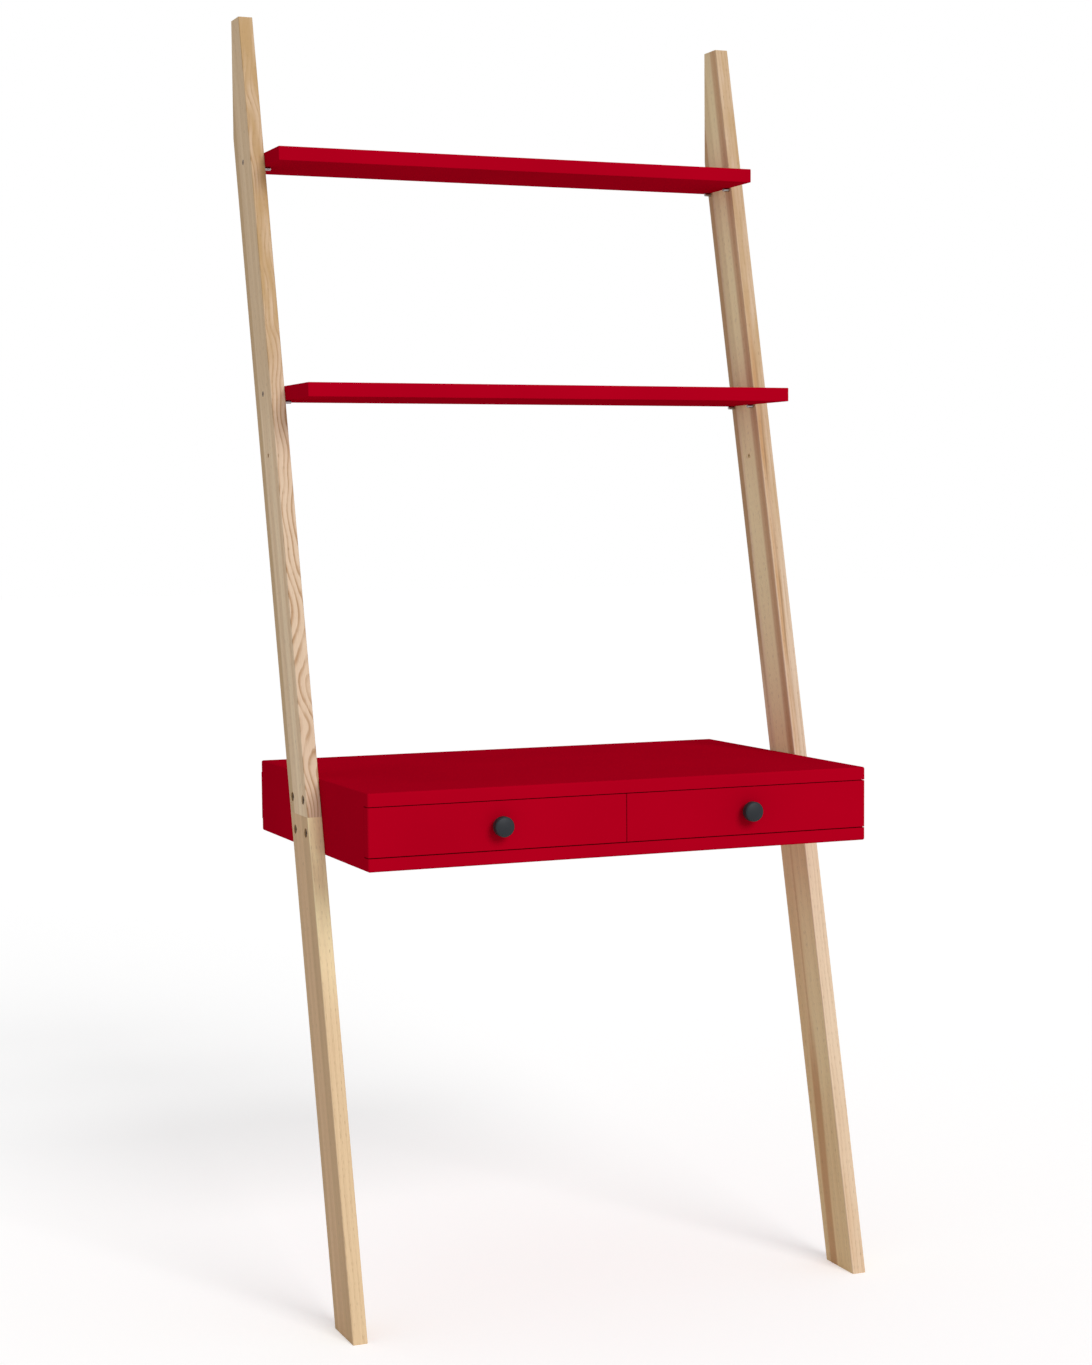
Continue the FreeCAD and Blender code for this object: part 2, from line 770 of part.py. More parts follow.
def drawer_front(hand):
    """The front board, with a groove for the bottom sheet and holes for knob, cams and dowels."""
    spans = (hand * front_parting / 2, hand * post_inner, case_front_y, front_back_y)
    board = block(*spans, bay_floor + front_reveal, bay_ceiling - front_reveal)

    def at_the_case_corner(edge):
        box = edge.BoundBox
        outermost = min(abs(box.XMin), abs(box.XMax)) > post_inner - same_place
        return outermost and box.YMax < case_front_y + same_place

    def along_a_gap(edge):
        box = edge.BoundBox
        by_the_parting = max(abs(box.XMin), abs(box.XMax)) < front_parting
        level = box.ZLength < same_place
        return box.YMin < front_back_y - same_place and (level or by_the_parting)

    board = rounded(rounded(board, case_edge_round, at_the_case_corner), front_edge_round, along_a_gap)
    groove = block(
        drawer_x(hand, "outer", drawer_board - groove_depth),
        drawer_x(hand, "inner", drawer_board - groove_depth),
        front_back_y - groove_depth,
        front_back_y,
        sheet_z,
        sheet_z + bottom_sheet + groove_play,
    )
    knob_hole_radius = knob_screw_radius + fastener_clearance
    x, z = hand * knob_x, knob_z
    tools = [groove, rod(knob_hole_radius, V(x, case_front_y, z), V(x, front_back_y, z))]
    for side in ("outer", "inner"):
        tools.append(drawer_front_fitting(hand, side)["board_hole"])
        tools += [dowel_hole(drawer_dowel_radius, *ends) for ends in drawer_dowel_ends(hand, side)]
    return board.cut(tools)


def drawer_side(hand, side):
    spans = (drawer_x(hand, side, 0), drawer_x(hand, side, drawer_board))
    board = block(*spans, front_back_y, drawer_back_y, side_bottom_z, side_top_z)

    def runs_along_top(edge):
        box = edge.BoundBox
        return box.ZMin > side_top_z - side_edge_round and box.YLength > drawer_board

    board = rounded(board, side_edge_round, runs_along_top)
    groove = block(
        drawer_x(hand, side, drawer_board - groove_depth),
        drawer_x(hand, side, drawer_board),
        front_back_y,
        drawer_back_y,
        sheet_z,
        sheet_z + bottom_sheet + groove_play,
    )
    into = towards_drawer(hand, side)
    tools = [groove] + drawer_front_fitting(hand, side)["panel_holes"]
    tools += [dowel_hole(drawer_dowel_radius, *ends) for ends in drawer_dowel_ends(hand, side)]
    tools += [back_screw(place, into, fastener_clearance) for place in back_screw_places(hand, side)]
    tools += support_screw_holes(hand, side)
    return board.cut(tools)


def drawer_back(hand):
    spans = (drawer_x(hand, "outer", drawer_board), drawer_x(hand, "inner", drawer_board))
    low = sheet_z + bottom_sheet + groove_play
    board = block(*spans, drawer_back_y - drawer_board, drawer_back_y, low, side_top_z)
    holes = []
    for side in ("outer", "inner"):
        into = towards_drawer(hand, side)
        holes += [back_screw(place, into, fastener_clearance) for place in back_screw_places(hand, side)]
    return board.cut(holes)


def drawer_bottom(hand):
    """The thin sheet that slides into the grooves under the back."""
    inset = drawer_board - groove_depth + groove_play
    spans = (drawer_x(hand, "outer", inset), drawer_x(hand, "inner", inset))
    front = front_back_y - groove_depth + groove_play
    return block(*spans, front, drawer_back_y, sheet_z, sheet_z + bottom_sheet)


def drawer_screws(hand):
    """Wood screws in the drawer's back and in the lower edges of its sides."""
    screws = []
    for side in ("outer", "inner"):
        into = towards_drawer(hand, side)
        screws += [back_screw(place, into) for place in back_screw_places(hand, side)]
        for place in support_screw_places(hand, side):
            sizes = (wood_screw_head_radius, runner_screw_head, wood_screw_radius, support_screw_length)
            screws.append(pan_screw(place, V(0, 0, 1), *sizes))
    return group(screws)


def drawer_cams(hand):
    """The cams and cam bolts that pull the front onto the sides."""
    solids = []
    for side in ("outer", "inner"):
        fitting = drawer_front_fitting(hand, side)
        solids += [fitting["cam"], fitting["bolt"]]
    return group(solids)


def drawer_dowels(hand):
    solids = []
    for side in ("outer", "inner"):
        solids += [rod(drawer_dowel_radius, *ends) for ends in drawer_dowel_ends(hand, side)]
    return group(solids)


def knob(hand):
    """A round knob: a waisted neck and a thick cap with rounded edges and a domed face."""

    def at(radius, distance):
        return V(radius, 0, distance)

    rim_end = knob_projection - knob_dome
    dome_radius = (knob_radius**2 + knob_dome**2) / (2 * knob_dome)
    half_angle = math.asin(knob_radius / dome_radius) / 2
    dome_rise = dome_radius * (1 - math.cos(half_angle))
    dome_middle = at(dome_radius * math.sin(half_angle), knob_projection - dome_rise)
    neck_middle = at(knob_waist_radius, knob_neck / 2)
    edges = [
        Part.LineSegment(at(0, 0), at(knob_neck_radius, 0)).toShape(),
        Part.Arc(at(knob_neck_radius, 0), neck_middle, at(knob_neck_radius, knob_neck)).toShape(),
        Part.LineSegment(at(knob_neck_radius, knob_neck), at(knob_radius, knob_neck)).toShape(),
        Part.LineSegment(at(knob_radius, knob_neck), at(knob_radius, rim_end)).toShape(),
        Part.Arc(at(knob_radius, rim_end), dome_middle, at(0, knob_projection)).toShape(),
        Part.LineSegment(at(0, knob_projection), at(0, 0)).toShape(),
    ]
    solid = Part.Face(Part.Wire(edges)).revolve(V(0, 0, 0), V(0, 0, 1), 360)
    for height, radius in ((knob_neck, knob_back_round), (rim_end, knob_front_round)):
        rim = [edge for edge in solid.Edges if rim_at(edge, knob_radius, height)]
        solid = solid.makeFillet(radius, rim)
    thread = rod(knob_screw_radius + fastener_clearance, V(0, 0, 0), V(0, 0, knob_thread_depth))
    return stood(solid.cut(thread), V(hand * knob_x, case_front_y, knob_z), V(0, -1, 0))


def rim_at(edge, radius, height):
    """Whether an edge of a solid turned about +Z is the circle of this radius at this height."""
    return level_at(height)(edge) and abs(edge.BoundBox.XMax - radius) < same_place


def knob_screw(hand):
    """Driven from inside the drawer through its front into the knob."""
    seat = V(hand * knob_x, front_back_y, knob_z)
    length = front_board + knob_screw_in_knob
    sizes = (knob_screw_head_radius, knob_screw_head, knob_screw_radius, length)
    return pan_screw(seat, V(0, -1, 0), *sizes)


# ---------------------------------------------------------------- the whole desk
def frame_nodes():
    """Uprights, shelves and what fastens them."""
    nodes = {}
    bolts, inserts, dowels, screws, pins = [], [], [], [], []
    for name, hand in HANDS.items():
        nodes["post_upper_" + name] = upper_post(hand)
        nodes["leg_lower_" + name] = lower_leg(hand)
        bolts += [frame_bolt(hand, y, z) for y, z in all_frame_bolt_places()]
        inserts += [frame_insert(hand, y, z) for y, z in all_frame_bolt_places()]
        dowels += [rod(dowel_radius, *ends) for ends in post_dowel_ends(hand)]
        for level in shelves:
            y, z = shelf_screw_place(level)
            screws.append(shelf_screw(V(hand * overall_width / 2, y, z), V(-hand, 0, 0)))
            pins += [shelf_pin(hand, *place) for place in shelf_pin_places(level)]
    for level in shelves:
        nodes["shelf_" + level] = shelf(level)
    nodes["frame_bolts"] = group(bolts)
    nodes["frame_inserts"] = group(inserts)
    nodes["post_dowels"] = group(dowels)
    nodes["shelf_screws"] = group(screws)
    nodes["shelf_pins"] = group(pins)
    return nodes


def case_nodes():
    """The boards of the desk case, their fittings and the case members of the runners."""
    fittings, holes = case_joinery()
    nodes = case_boards(holes)
    nodes["case_dowels"] = group(fittings["dowels"])
    nodes["case_connectors"] = group(fittings["connectors"])
    nodes["case_cams"] = group(fittings["cams"])
    nodes["case_cam_bolts"] = group(fittings["cam_bolts"])
    screws = []
    for name, hand in HANDS.items():
        for side in ("outer", "inner"):
            nodes[f"{name}_case_runner_{side}"] = case_runner(hand, side)
            nodes[f"{name}_front_roller_{side}"] = roller(
                hand, side, front_roller_radius, front_axle_y, front_axle_z
            )
            into = towards_drawer(hand, side) * -1
            sizes = (wood_screw_head_radius, runner_screw_head, wood_screw_radius, runner_screw_length)
            screws += [pan_screw(place, into, *sizes) for place in runner_screw_places(hand, side)]
    nodes["runner_screws"] = group(screws)
    return nodes


def drawer_nodes(name, hand):
    nodes = {
        name + "_drawer_front": drawer_front(hand),
        name + "_drawer_back": drawer_back(hand),
        name + "_drawer_bottom": drawer_bottom(hand),
        name + "_drawer_screws": drawer_screws(hand),
        name + "_drawer_cams": drawer_cams(hand),
        name + "_drawer_dowels": drawer_dowels(hand),
        name + "_knob": knob(hand),
        name + "_knob_screw": knob_screw(hand),
    }
    for side in ("outer", "inner"):
        nodes[f"{name}_drawer_side_{side}"] = drawer_side(hand, side)
        nodes[f"{name}_drawer_runner_{side}"] = drawer_runner(hand, side)
        nodes[f"{name}_rear_roller_{side}"] = roller(
            hand, side, rear_roller_radius, rear_axle_y, rear_axle_z
        )
    return nodes


def desk_nodes():
    nodes = {**frame_nodes(), **case_nodes()}
    for name, hand in HANDS.items():
        nodes.update(drawer_nodes(name, hand))
    return nodes


def main():
    os.makedirs("parts", exist_ok=True)
    for name, shape in desk_nodes().items():
        if not shape.isValid():
            raise ValueError(f"{name} isn't a valid shape")
        shape.exportStep(f"parts/{name}.step")


if __name__ == "__main__":
    main()
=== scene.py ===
"""Finish of the ladder desk: its wood, lacquer and fittings round the fixed frame, and the studio.

Metres, in the frame's own axes: +X to the right, +Y to the wall and +Z up, with the floor at z 0.
Real sizes are written in millimetres and times MM.
"""

import math

import bmesh
import bpy
from bpy.props import FloatProperty, FloatVectorProperty, IntProperty, PointerProperty
from mathutils import Matrix, Vector


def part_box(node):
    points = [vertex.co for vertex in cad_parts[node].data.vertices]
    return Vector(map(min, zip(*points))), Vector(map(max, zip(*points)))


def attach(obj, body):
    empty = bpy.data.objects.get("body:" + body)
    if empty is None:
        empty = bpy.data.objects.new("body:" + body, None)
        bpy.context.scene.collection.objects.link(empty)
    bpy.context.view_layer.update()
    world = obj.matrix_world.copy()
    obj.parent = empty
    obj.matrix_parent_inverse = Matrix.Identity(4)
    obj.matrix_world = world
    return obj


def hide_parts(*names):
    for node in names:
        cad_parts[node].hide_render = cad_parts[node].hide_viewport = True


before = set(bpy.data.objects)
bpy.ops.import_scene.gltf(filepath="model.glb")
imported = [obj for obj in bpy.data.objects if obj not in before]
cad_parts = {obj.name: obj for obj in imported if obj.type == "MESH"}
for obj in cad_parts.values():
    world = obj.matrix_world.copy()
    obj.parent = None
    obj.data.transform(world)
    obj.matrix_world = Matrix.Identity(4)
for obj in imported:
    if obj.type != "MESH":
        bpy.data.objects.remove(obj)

bl_info = {
    "name": "Ladder desk finish",
    "version": (1, 0, 0),
    "blender": (4, 5, 0),
    "location": "3D View > Sidebar > Ladder desk",
    "description": "Gives the ladder desk its wood, lacquer and fittings, and lights it",
    "category": "Object",
}

MM = 0.001
PER_MM = 1000.0  # object coordinates are metres, and patterns are drawn in millimetres
SAME_PLACE = 0.001 * MM  # points nearer than this are one
SHARP_FROM = math.radians(32)  # edges that turn further stay sharp
THREAD_CORE = 0.68  # radius of a thread's core, as a share of its crest's
THREAD_STEPS = 16  # sides in one turn of a thread
FLOOR_REACH = 30.0  # half the floor's width, in metres
FILM_WIDTH = 36.0  # in millimetres: what a lens's length is given for
HANDS = ("left", "right")
ENDS = ("front", "rear")
SIDES = ("outer", "inner")

# ---------------------------------------------------------------- the uprights' lie, read from the frame
leg_low, leg_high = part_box("leg_lower_left")
post_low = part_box("post_upper_left")[0]
lean = math.atan2(post_low.y - leg_low.y, leg_high.z)
post_depth = (leg_high.y - post_low.y) * math.cos(lean)


def streak(at, half_width, strength, low, high, drift=0.0, tone="heart_streak", left_only=False):
    """A streak of another tone along an upright's broad faces, all in millimetres.

    at: from the front edge, where the upright's foot would be; low, high: where it begins and
    ends along the upright; drift: how far it moves from the front edge for each millimetre up;
    tone: the colour setting that it takes; left_only: keeps it off the right broad face.
    """
    ends = {"low": low, "high": high, "drift": drift, "tone": tone, "left_only": left_only}
    return {"at": at, "half": half_width, "strength": strength, **ends}


def stain(strength, low, high, tone="dull_streak", at=0.0, half_width=30.0):
    """A stretch of another tone on an upright's narrow faces: all over, or to a side of its middle."""
    return streak(at, half_width, strength, low, high, tone=tone)


# Each upright was sawn from another plank, so each has its own figure. Lengths in millimetres.
# seed: where in the noise it is cut; edge_tone: its narrow front and back faces; left_tones,
# right_tones: pale and deeper bands of its broad faces; wander, reach: how far the rings stray,
# and over what length; figure: how strongly they show.
ASH_CUTS = {
    "post_upper_left": {
        "seed": 3.0,
        "edge_tone": "#E0C6A9",
        "left_tones": ("#F1D7B2", "#DFBF96"),
        "right_tones": ("#F1D7B2", "#DFBF96"),
        "wander": 62.0,
        "reach": 128.0,
        "figure": 1.0,
        "streaks": [
            streak(70.0, 12.0, 0.85, 500, 2100, tone="dull_streak"),
            streak(10.0, 7.0, 0.25, 600, 1350),
            streak(36.0, 46.0, 0.4, 1180, 2300, tone="dull_streak"),
        ],
        "stains": [stain(0.75, 1180, 2300), stain(0.6, 1600, 2300)],
    },
    "post_upper_right": {
        "seed": 17.0,
        "edge_tone": "#DEC5AB",
        # Painted light: the left broad face, which faces the other upright, gets paler tones than the right
        # one to lift the shade and red cast that the desk top and shelves throw on it
        "left_tones": ("#FAE8C0", "#F0DAB0"),
        "right_tones": ("#EED6B4", "#E0C4A0"),
        "wander": 9.0,
        "reach": 260.0,
        "figure": 0.45,
        "streaks": [
            # Painted light: a pale band on the left broad face above the desk lifts the shade of the desk
            # top and shelves
            streak(36.0, 24.0, 0.92, 500, 1900, tone="sapwood_and_painted_light", left_only=True),
            streak(54.0, 14.0, 0.3, 1150, 2300, tone="dull_streak"),
            streak(9.0, 12.0, 0.6, 600, 2100),
            streak(7.5, 4.5, 0.4, 600, 2100),
            streak(71.0, 8.0, 0.95, 800, 2100, tone="dull_streak"),
            streak(67.0, 3.5, 0.35, 700, 2100),
            streak(36.0, 46.0, 0.25, 1650, 2300),
        ],
        "stains": [
            stain(0.35, 850, 2300),
            stain(0.4, 1050, 2300),
            stain(0.5, 560, 1500, tone="heart_streak", at=-4.5, half_width=4.5),
            stain(0.45, 700, 1450, tone="pore", at=-3.0, half_width=1.6),
        ],
    },
    "leg_lower_left": {
        "seed": 29.0,
        "edge_tone": "#E2C59C",
        "left_tones": ("#DBB485", "#CDA475"),
        "right_tones": ("#E2C096", "#D2AE82"),
        "wander": 12.0,
        "reach": 320.0,
        "figure": 0.22,
        "streaks": [
            streak(16.0, 16.0, 0.45, -200, 900, tone="dull_streak"),
            streak(70.0, 8.0, 0.4, -200, 900, tone="dull_streak"),
        ],
        # Painted light: a pale stretch on the narrow faces up to the case lifts the case's shade and red
        # cast on the leg
        "stains": [stain(0.5, 330, 1200, tone="sapwood_and_painted_light")],
    },
    "leg_lower_right": {
        "seed": 41.0,
        "edge_tone": "#E7CEB0",
        "left_tones": ("#F3D6A2", "#E8C993"),
        "right_tones": ("#EACFAA", "#DDBE98"),
        "wander": 10.0,
        "reach": 300.0,
        "figure": 0.22,
        "streaks": [
            streak(18.0, 26.0, 0.4, 150, 600, tone="sapwood_and_painted_light", left_only=True),
            streak(54.0, 11.5, 0.88, -300, 360, -0.025),
            streak(46.0, 3.0, 0.4, 200, 800),
        ],
        "stains": [stain(0.22, -300, 310, tone="heart_streak")],
    },
}

# How the ash is drawn. Lengths in millimetres. RING_TONES: strengths across one ring, by place.
NARROW_INSETS = (2.4, 1.0)  # in from a narrow face: where its own tone begins and where it is full
MIDDLE_BLEND = 6.0  # to each side of the middle: where the left tones pass into the right ones
END_SLANTS = (0.55, 0.75)  # cosines to the grain between which a face becomes a sawn end
END_DARKENING = 0.35  # strength of the rings' tone all over a sawn end
RING_CROWDING = 5.0  # how far rings draw together or apart
RING_BOW = 0.35  # how far they bow for each millimetre towards the back
RING_TONES = ((0.0, 0.6), (0.06, 1.0), (0.2, 0.6), (0.42, 0.1), (0.88, 0.0), (1.0, 1.0))
BROAD_FIGURE, END_FIGURE = 0.05, 0.6  # how strongly rings show on broad faces and on sawn ends
MARK_SWAY = 3.0  # how far a streak or stain wanders to each side
MARK_FADE = (0.6, 1.2)  # shares of its half width at which it starts to fade and is gone
STREAK_END, STAIN_END = 150.0, 250.0  # length over which it fades in and out along the upright

CLOUD_SPAN = (0.3, 0.7)  # soft noise seldom leaves these values
SMOOTH = {"interpolation_type": "SMOOTHSTEP"}
SHADER = "Principled BSDF"
WHITE = (1.0, 1.0, 1.0, 1.0)


def linear(hex_colour):
    """Linear red, green and blue of an sRGB hex colour."""
    channels = [int(hex_colour[start : start + 2], 16) / 255 for start in (1, 3, 5)]
    return tuple(c / 12.92 if c <= 0.04045 else ((c + 0.055) / 1.055) ** 2.4 for c in channels)


# ---------------------------------------------------------------- settings that a user would change
def colour_setting(name, description, hex_colour):
    return FloatVectorProperty(
        name=name, description=description, subtype="COLOR", min=0, max=1, default=linear(hex_colour)
    )


def length_setting(name, description, millimetres):
    return FloatProperty(
        name=name, description=description, unit="LENGTH", precision=5, min=0, default=millimetres * MM
    )


class DeskColours(bpy.types.PropertyGroup):
    """Colours of the finishes."""

    red: colour_setting("Red lacquer", "Lacquer of the boards, shelves and drawer fronts", "#B2001D")
    ring: colour_setting("Growth ring", "Open-pored early wood of the ash", "#AC835A")
    pore: colour_setting("Pores", "Pores of the ash", "#8C6A45")
    heart_streak: colour_setting("Heart streak", "Warm brown streaks along the ash", "#C4935F")
    dull_streak: colour_setting("Dull streak", "Greyer brown streaks and stains on the ash", "#B99563")
    # Also used as painted light: pale bands that lift the shade on the uprights' faces near the desk
    sapwood_and_painted_light: colour_setting("Sapwood", "Palest bands of the ash", "#FFF1BE")
    drawer_board: colour_setting("Drawer board", "Melamine face of the drawer sides and backs", "#E3E1DB")
    hardboard: colour_setting("Hardboard", "Raw underside of the drawer bottoms", "#9A7450")
    runner: colour_setting("Runner enamel", "Epoxy coat of the runners", "#DEDDD8")
    nylon: colour_setting("Nylon", "Moulded rollers", "#E9E6DC")
    zinc: colour_setting("Zinc", "Zinc plating on screws, pins and cams", "#B9BBBC")
    black_oxide: colour_setting("Black oxide", "Bolts, shelf screws and connectors", "#5A493B")
    knob: colour_setting("Knob", "Anthracite of the knobs", "#22262B")
    beech: colour_setting("Beech", "Dowels", "#D0A67A")


class DeskGrain(bpy.types.PropertyGroup):
    """Sizes of the patterns in the finishes."""

    ring_width: length_setting("Ring width", "Distance between growth rings of the ash", 6.2)
    pore_width: length_setting("Pore width", "Width of a pore, drawn coarse enough to show", 0.5)
    pore_length: length_setting("Pore length", "Length of a pore along the wood", 9.0)
    fibre_width: length_setting("Fibre width", "Width of a bundle of fibres", 1.6)
    fibre_length: length_setting("Fibre length", "Length of a bundle of fibres", 150.0)
    lacquer_ripple: length_setting("Lacquer ripple", "Orange peel of the sprayed lacquer", 2.2)
    enamel_ripple: length_setting("Enamel ripple", "Orange peel of the runners' coat", 1.6)


class DeskFittings(bpy.types.PropertyGroup):
    """Sizes of the small fittings that the frame leaves plain."""

    facets: IntProperty(name="Facets", description="Sides of a turned fitting", min=12, max=96, default=48)
    knob_neck: length_setting("Knob neck", "Drawer front to the back of the cap", 8.0)
    knob_neck_radius: length_setting("Knob neck radius", "Radius of the neck at both its ends", 7.5)
    knob_waist: length_setting("Knob waist", "Radius of the neck's narrowest place", 6.5)
    knob_dome: length_setting("Knob dome", "Rise of the cap's domed face", 2.4)
    knob_front_round: length_setting("Knob front round", "Round of the cap's front rim", 3.5)
    knob_back_round: length_setting("Knob back round", "Round of the cap's back rim", 2.5)
    roller_bore: length_setting("Roller bore", "Radius of a roller's bore", 2.55)
    roller_round: length_setting("Roller round", "Round of a roller's rims", 0.6)
    roller_hollow: length_setting("Roller hollow", "Depth of the ring moulded into a roller's faces", 0.7)
    thread_pitch: length_setting("Thread pitch", "Pitch of the wood screws' threads", 2.0)


class DeskStage(bpy.types.PropertyGroup):
    """Camera, lamp and floor."""

    camera_place: FloatVectorProperty(
        name="Camera place",
        description="Where the camera stands",
        subtype="XYZ_LENGTH",
        unit="LENGTH",
        default=(-1.4066, -3.3360, 1.1187),
    )
    camera_turn: FloatVectorProperty(
        name="Camera turn",
        description="Pitch, roll and yaw of the camera from looking level along +Y",
        subtype="EULER",
        unit="ROTATION",
        default=(math.radians(-4.941), math.radians(0.491), math.radians(-22.634)),
    )
    camera_lens: FloatProperty(
        name="Lens", description="Focal length on a 36 mm film", unit="CAMERA", default=65.71
    )
    camera_shift: FloatVectorProperty(
        name="Lens shift",
        description="Share of the long side that the frame is shifted by",
        size=2,
        default=(-0.0007, 0.0317),
    )
    floor: colour_setting("Floor", "Pale floor", "#F1F1F1")
    floor_lift: FloatProperty(
        name="Floor lift", description="Share of white added where the floor is seen", min=0, default=0.345
    )
    ambient: FloatProperty(name="Ambient", description="Light from all round", min=0, default=0.50)
    key_strength: FloatProperty(
        name="Key light", description="Strength of the lamp in front of the desk", min=0, default=1.6
    )
    key_spread: FloatProperty(
        name="Key spread",
        description="How wide the lamp looks from the desk",
        subtype="ANGLE",
        default=math.radians(28),
    )
    key_way: FloatVectorProperty(
        name="Key direction",
        description="From the desk to the lamp",
        subtype="XYZ",
        default=(0.16, -0.85, 0.5),
    )


class DeskSettings(bpy.types.PropertyGroup):
    """Everything that the desk's finish reads."""

    colours: PointerProperty(type=DeskColours)
    grain: PointerProperty(type=DeskGrain)
    fittings: PointerProperty(type=DeskFittings)
    stage: PointerProperty(type=DeskStage)


# ---------------------------------------------------------------- materials
def add(tree, kind, inputs=(), **options):
    """Adds a node with its settings and gives its outputs.

    inputs: in order, or by name or number; each is a value or another node's output.
    """
    node = tree.nodes.new("ShaderNode" + kind)
    for name, value in options.items():
        setattr(node, name, value)
    for key, value in inputs.items() if isinstance(inputs, dict) else enumerate(inputs):
        if isinstance(value, bpy.types.NodeSocket):
            tree.links.new(value, node.inputs[key])
        else:
            node.inputs[key].default_value = value
    return node.outputs


def started(name, roughness=0.5, metallic=0.0, specular=0.5):
    """A material with what is the same all over set on it, its nodes, and the place in millimetres."""
    material = bpy.data.materials.new(name)
    material.use_nodes = True
    tree = material.node_tree
    sockets = tree.nodes[SHADER].inputs
    sockets["Roughness"].default_value = roughness
    sockets["Metallic"].default_value = metallic
    sockets["Specular IOR Level"].default_value = specular
    place = {"Vector": add(tree, "TexCoord")["Object"], "Scale": (PER_MM,) * 3}
    return material, tree, add(tree, "Mapping", place)[0]


def surfaced(material, colour, relief, depth, strength=0.5):
    """Gives a material its colour, and a relief from 0 to 1 that rises to this many millimetres."""
    tree = material.node_tree
    sockets = tree.nodes[SHADER].inputs
    tree.links.new(colour, sockets["Base Color"])
    bump = {"Height": relief, "Distance": depth * MM, "Strength": strength}
    tree.links.new(add(tree, "Bump", bump)[0], sockets["Normal"])
    return material


def cloud(tree, place, size, seed=0.0, detail=2.0):
    """Soft noise from 0 to 1 whose patches have this size along each axis."""
    spot = {"Vector": place, "Scale": [1 / side for side in size], "Location": (seed,) * 3}
    vector = add(tree, "Mapping", spot)[0]
    return add(tree, "TexNoise", {"Vector": vector, "Scale": 1.0, "Detail": detail})[0]


def mottling(tree, place, size, most=1.0, seed=0.0, detail=2.0):
    """Round patches of this size, as a share of another tone from 0 to this most."""
    patches = cloud(tree, place, (size,) * 3, seed, detail)
    return add(tree, "MapRange", (patches, *CLOUD_SPAN, 0.0, most))[0]


def layered(tree, colour, *layers):
    """Lays colours over a first one, each as strong as its share; a colour may be an output."""
    for share, upper in layers:
        under, over = (c if isinstance(c, bpy.types.NodeSocket) else (*c[:3], 1.0) for c in (colour, upper))
        colour = add(tree, "Mix", {0: share, 6: under, 7: over}, data_type="RGBA")[2]
    return colour


def shaded(tree, colour, share, shade):
    """A colour that turns to this shade of itself as the share goes from 0 to 1."""
    return layered(tree, colour, (share, [channel * shade for channel in colour]))


def settings():
    """What the user may change."""
    return bpy.context.scene.ladder_desk


def finished(name, make):
    """The material of this name, made the first time that it is asked for."""
    return bpy.data.materials.get(name) or make(name)


def strip(tree, place, position, along, mark, seed, fade):
    """A mark's strength in its wandering strip of an upright, less towards its edges and ends."""
    wander = cloud(tree, place, (40.0, 60.0, 240.0), seed + mark["at"], 1.0)
    sway = add(tree, "MapRange", (wander, 0, 1, -MARK_SWAY, MARK_SWAY))[0]
    path = add(tree, "Math", (along, mark["drift"], mark["at"]), operation="MULTIPLY_ADD")[0]
    path = add(tree, "Math", (path, sway), operation="ADD")[0]
    away = add(tree, "Math", (position, path), operation="SUBTRACT")[0]
    away = add(tree, "Math", (away,), operation="ABSOLUTE")[0]
    core, rim = (mark["half"] * share for share in MARK_FADE)
    share = add(tree, "MapRange", (away, core, rim, mark["strength"], 0.0), **SMOOTH)[0]
    for ends in (
        (along, mark["low"], mark["low"] + fade, 0.0, 1.0),
        (along, mark["high"] - fade, mark["high"], 1.0, 0.0),
    ):
        lasting = add(tree, "MapRange", ends, **SMOOTH)[0]
        share = add(tree, "Math", (share, lasting), operation="MULTIPLY")[0]
    return share


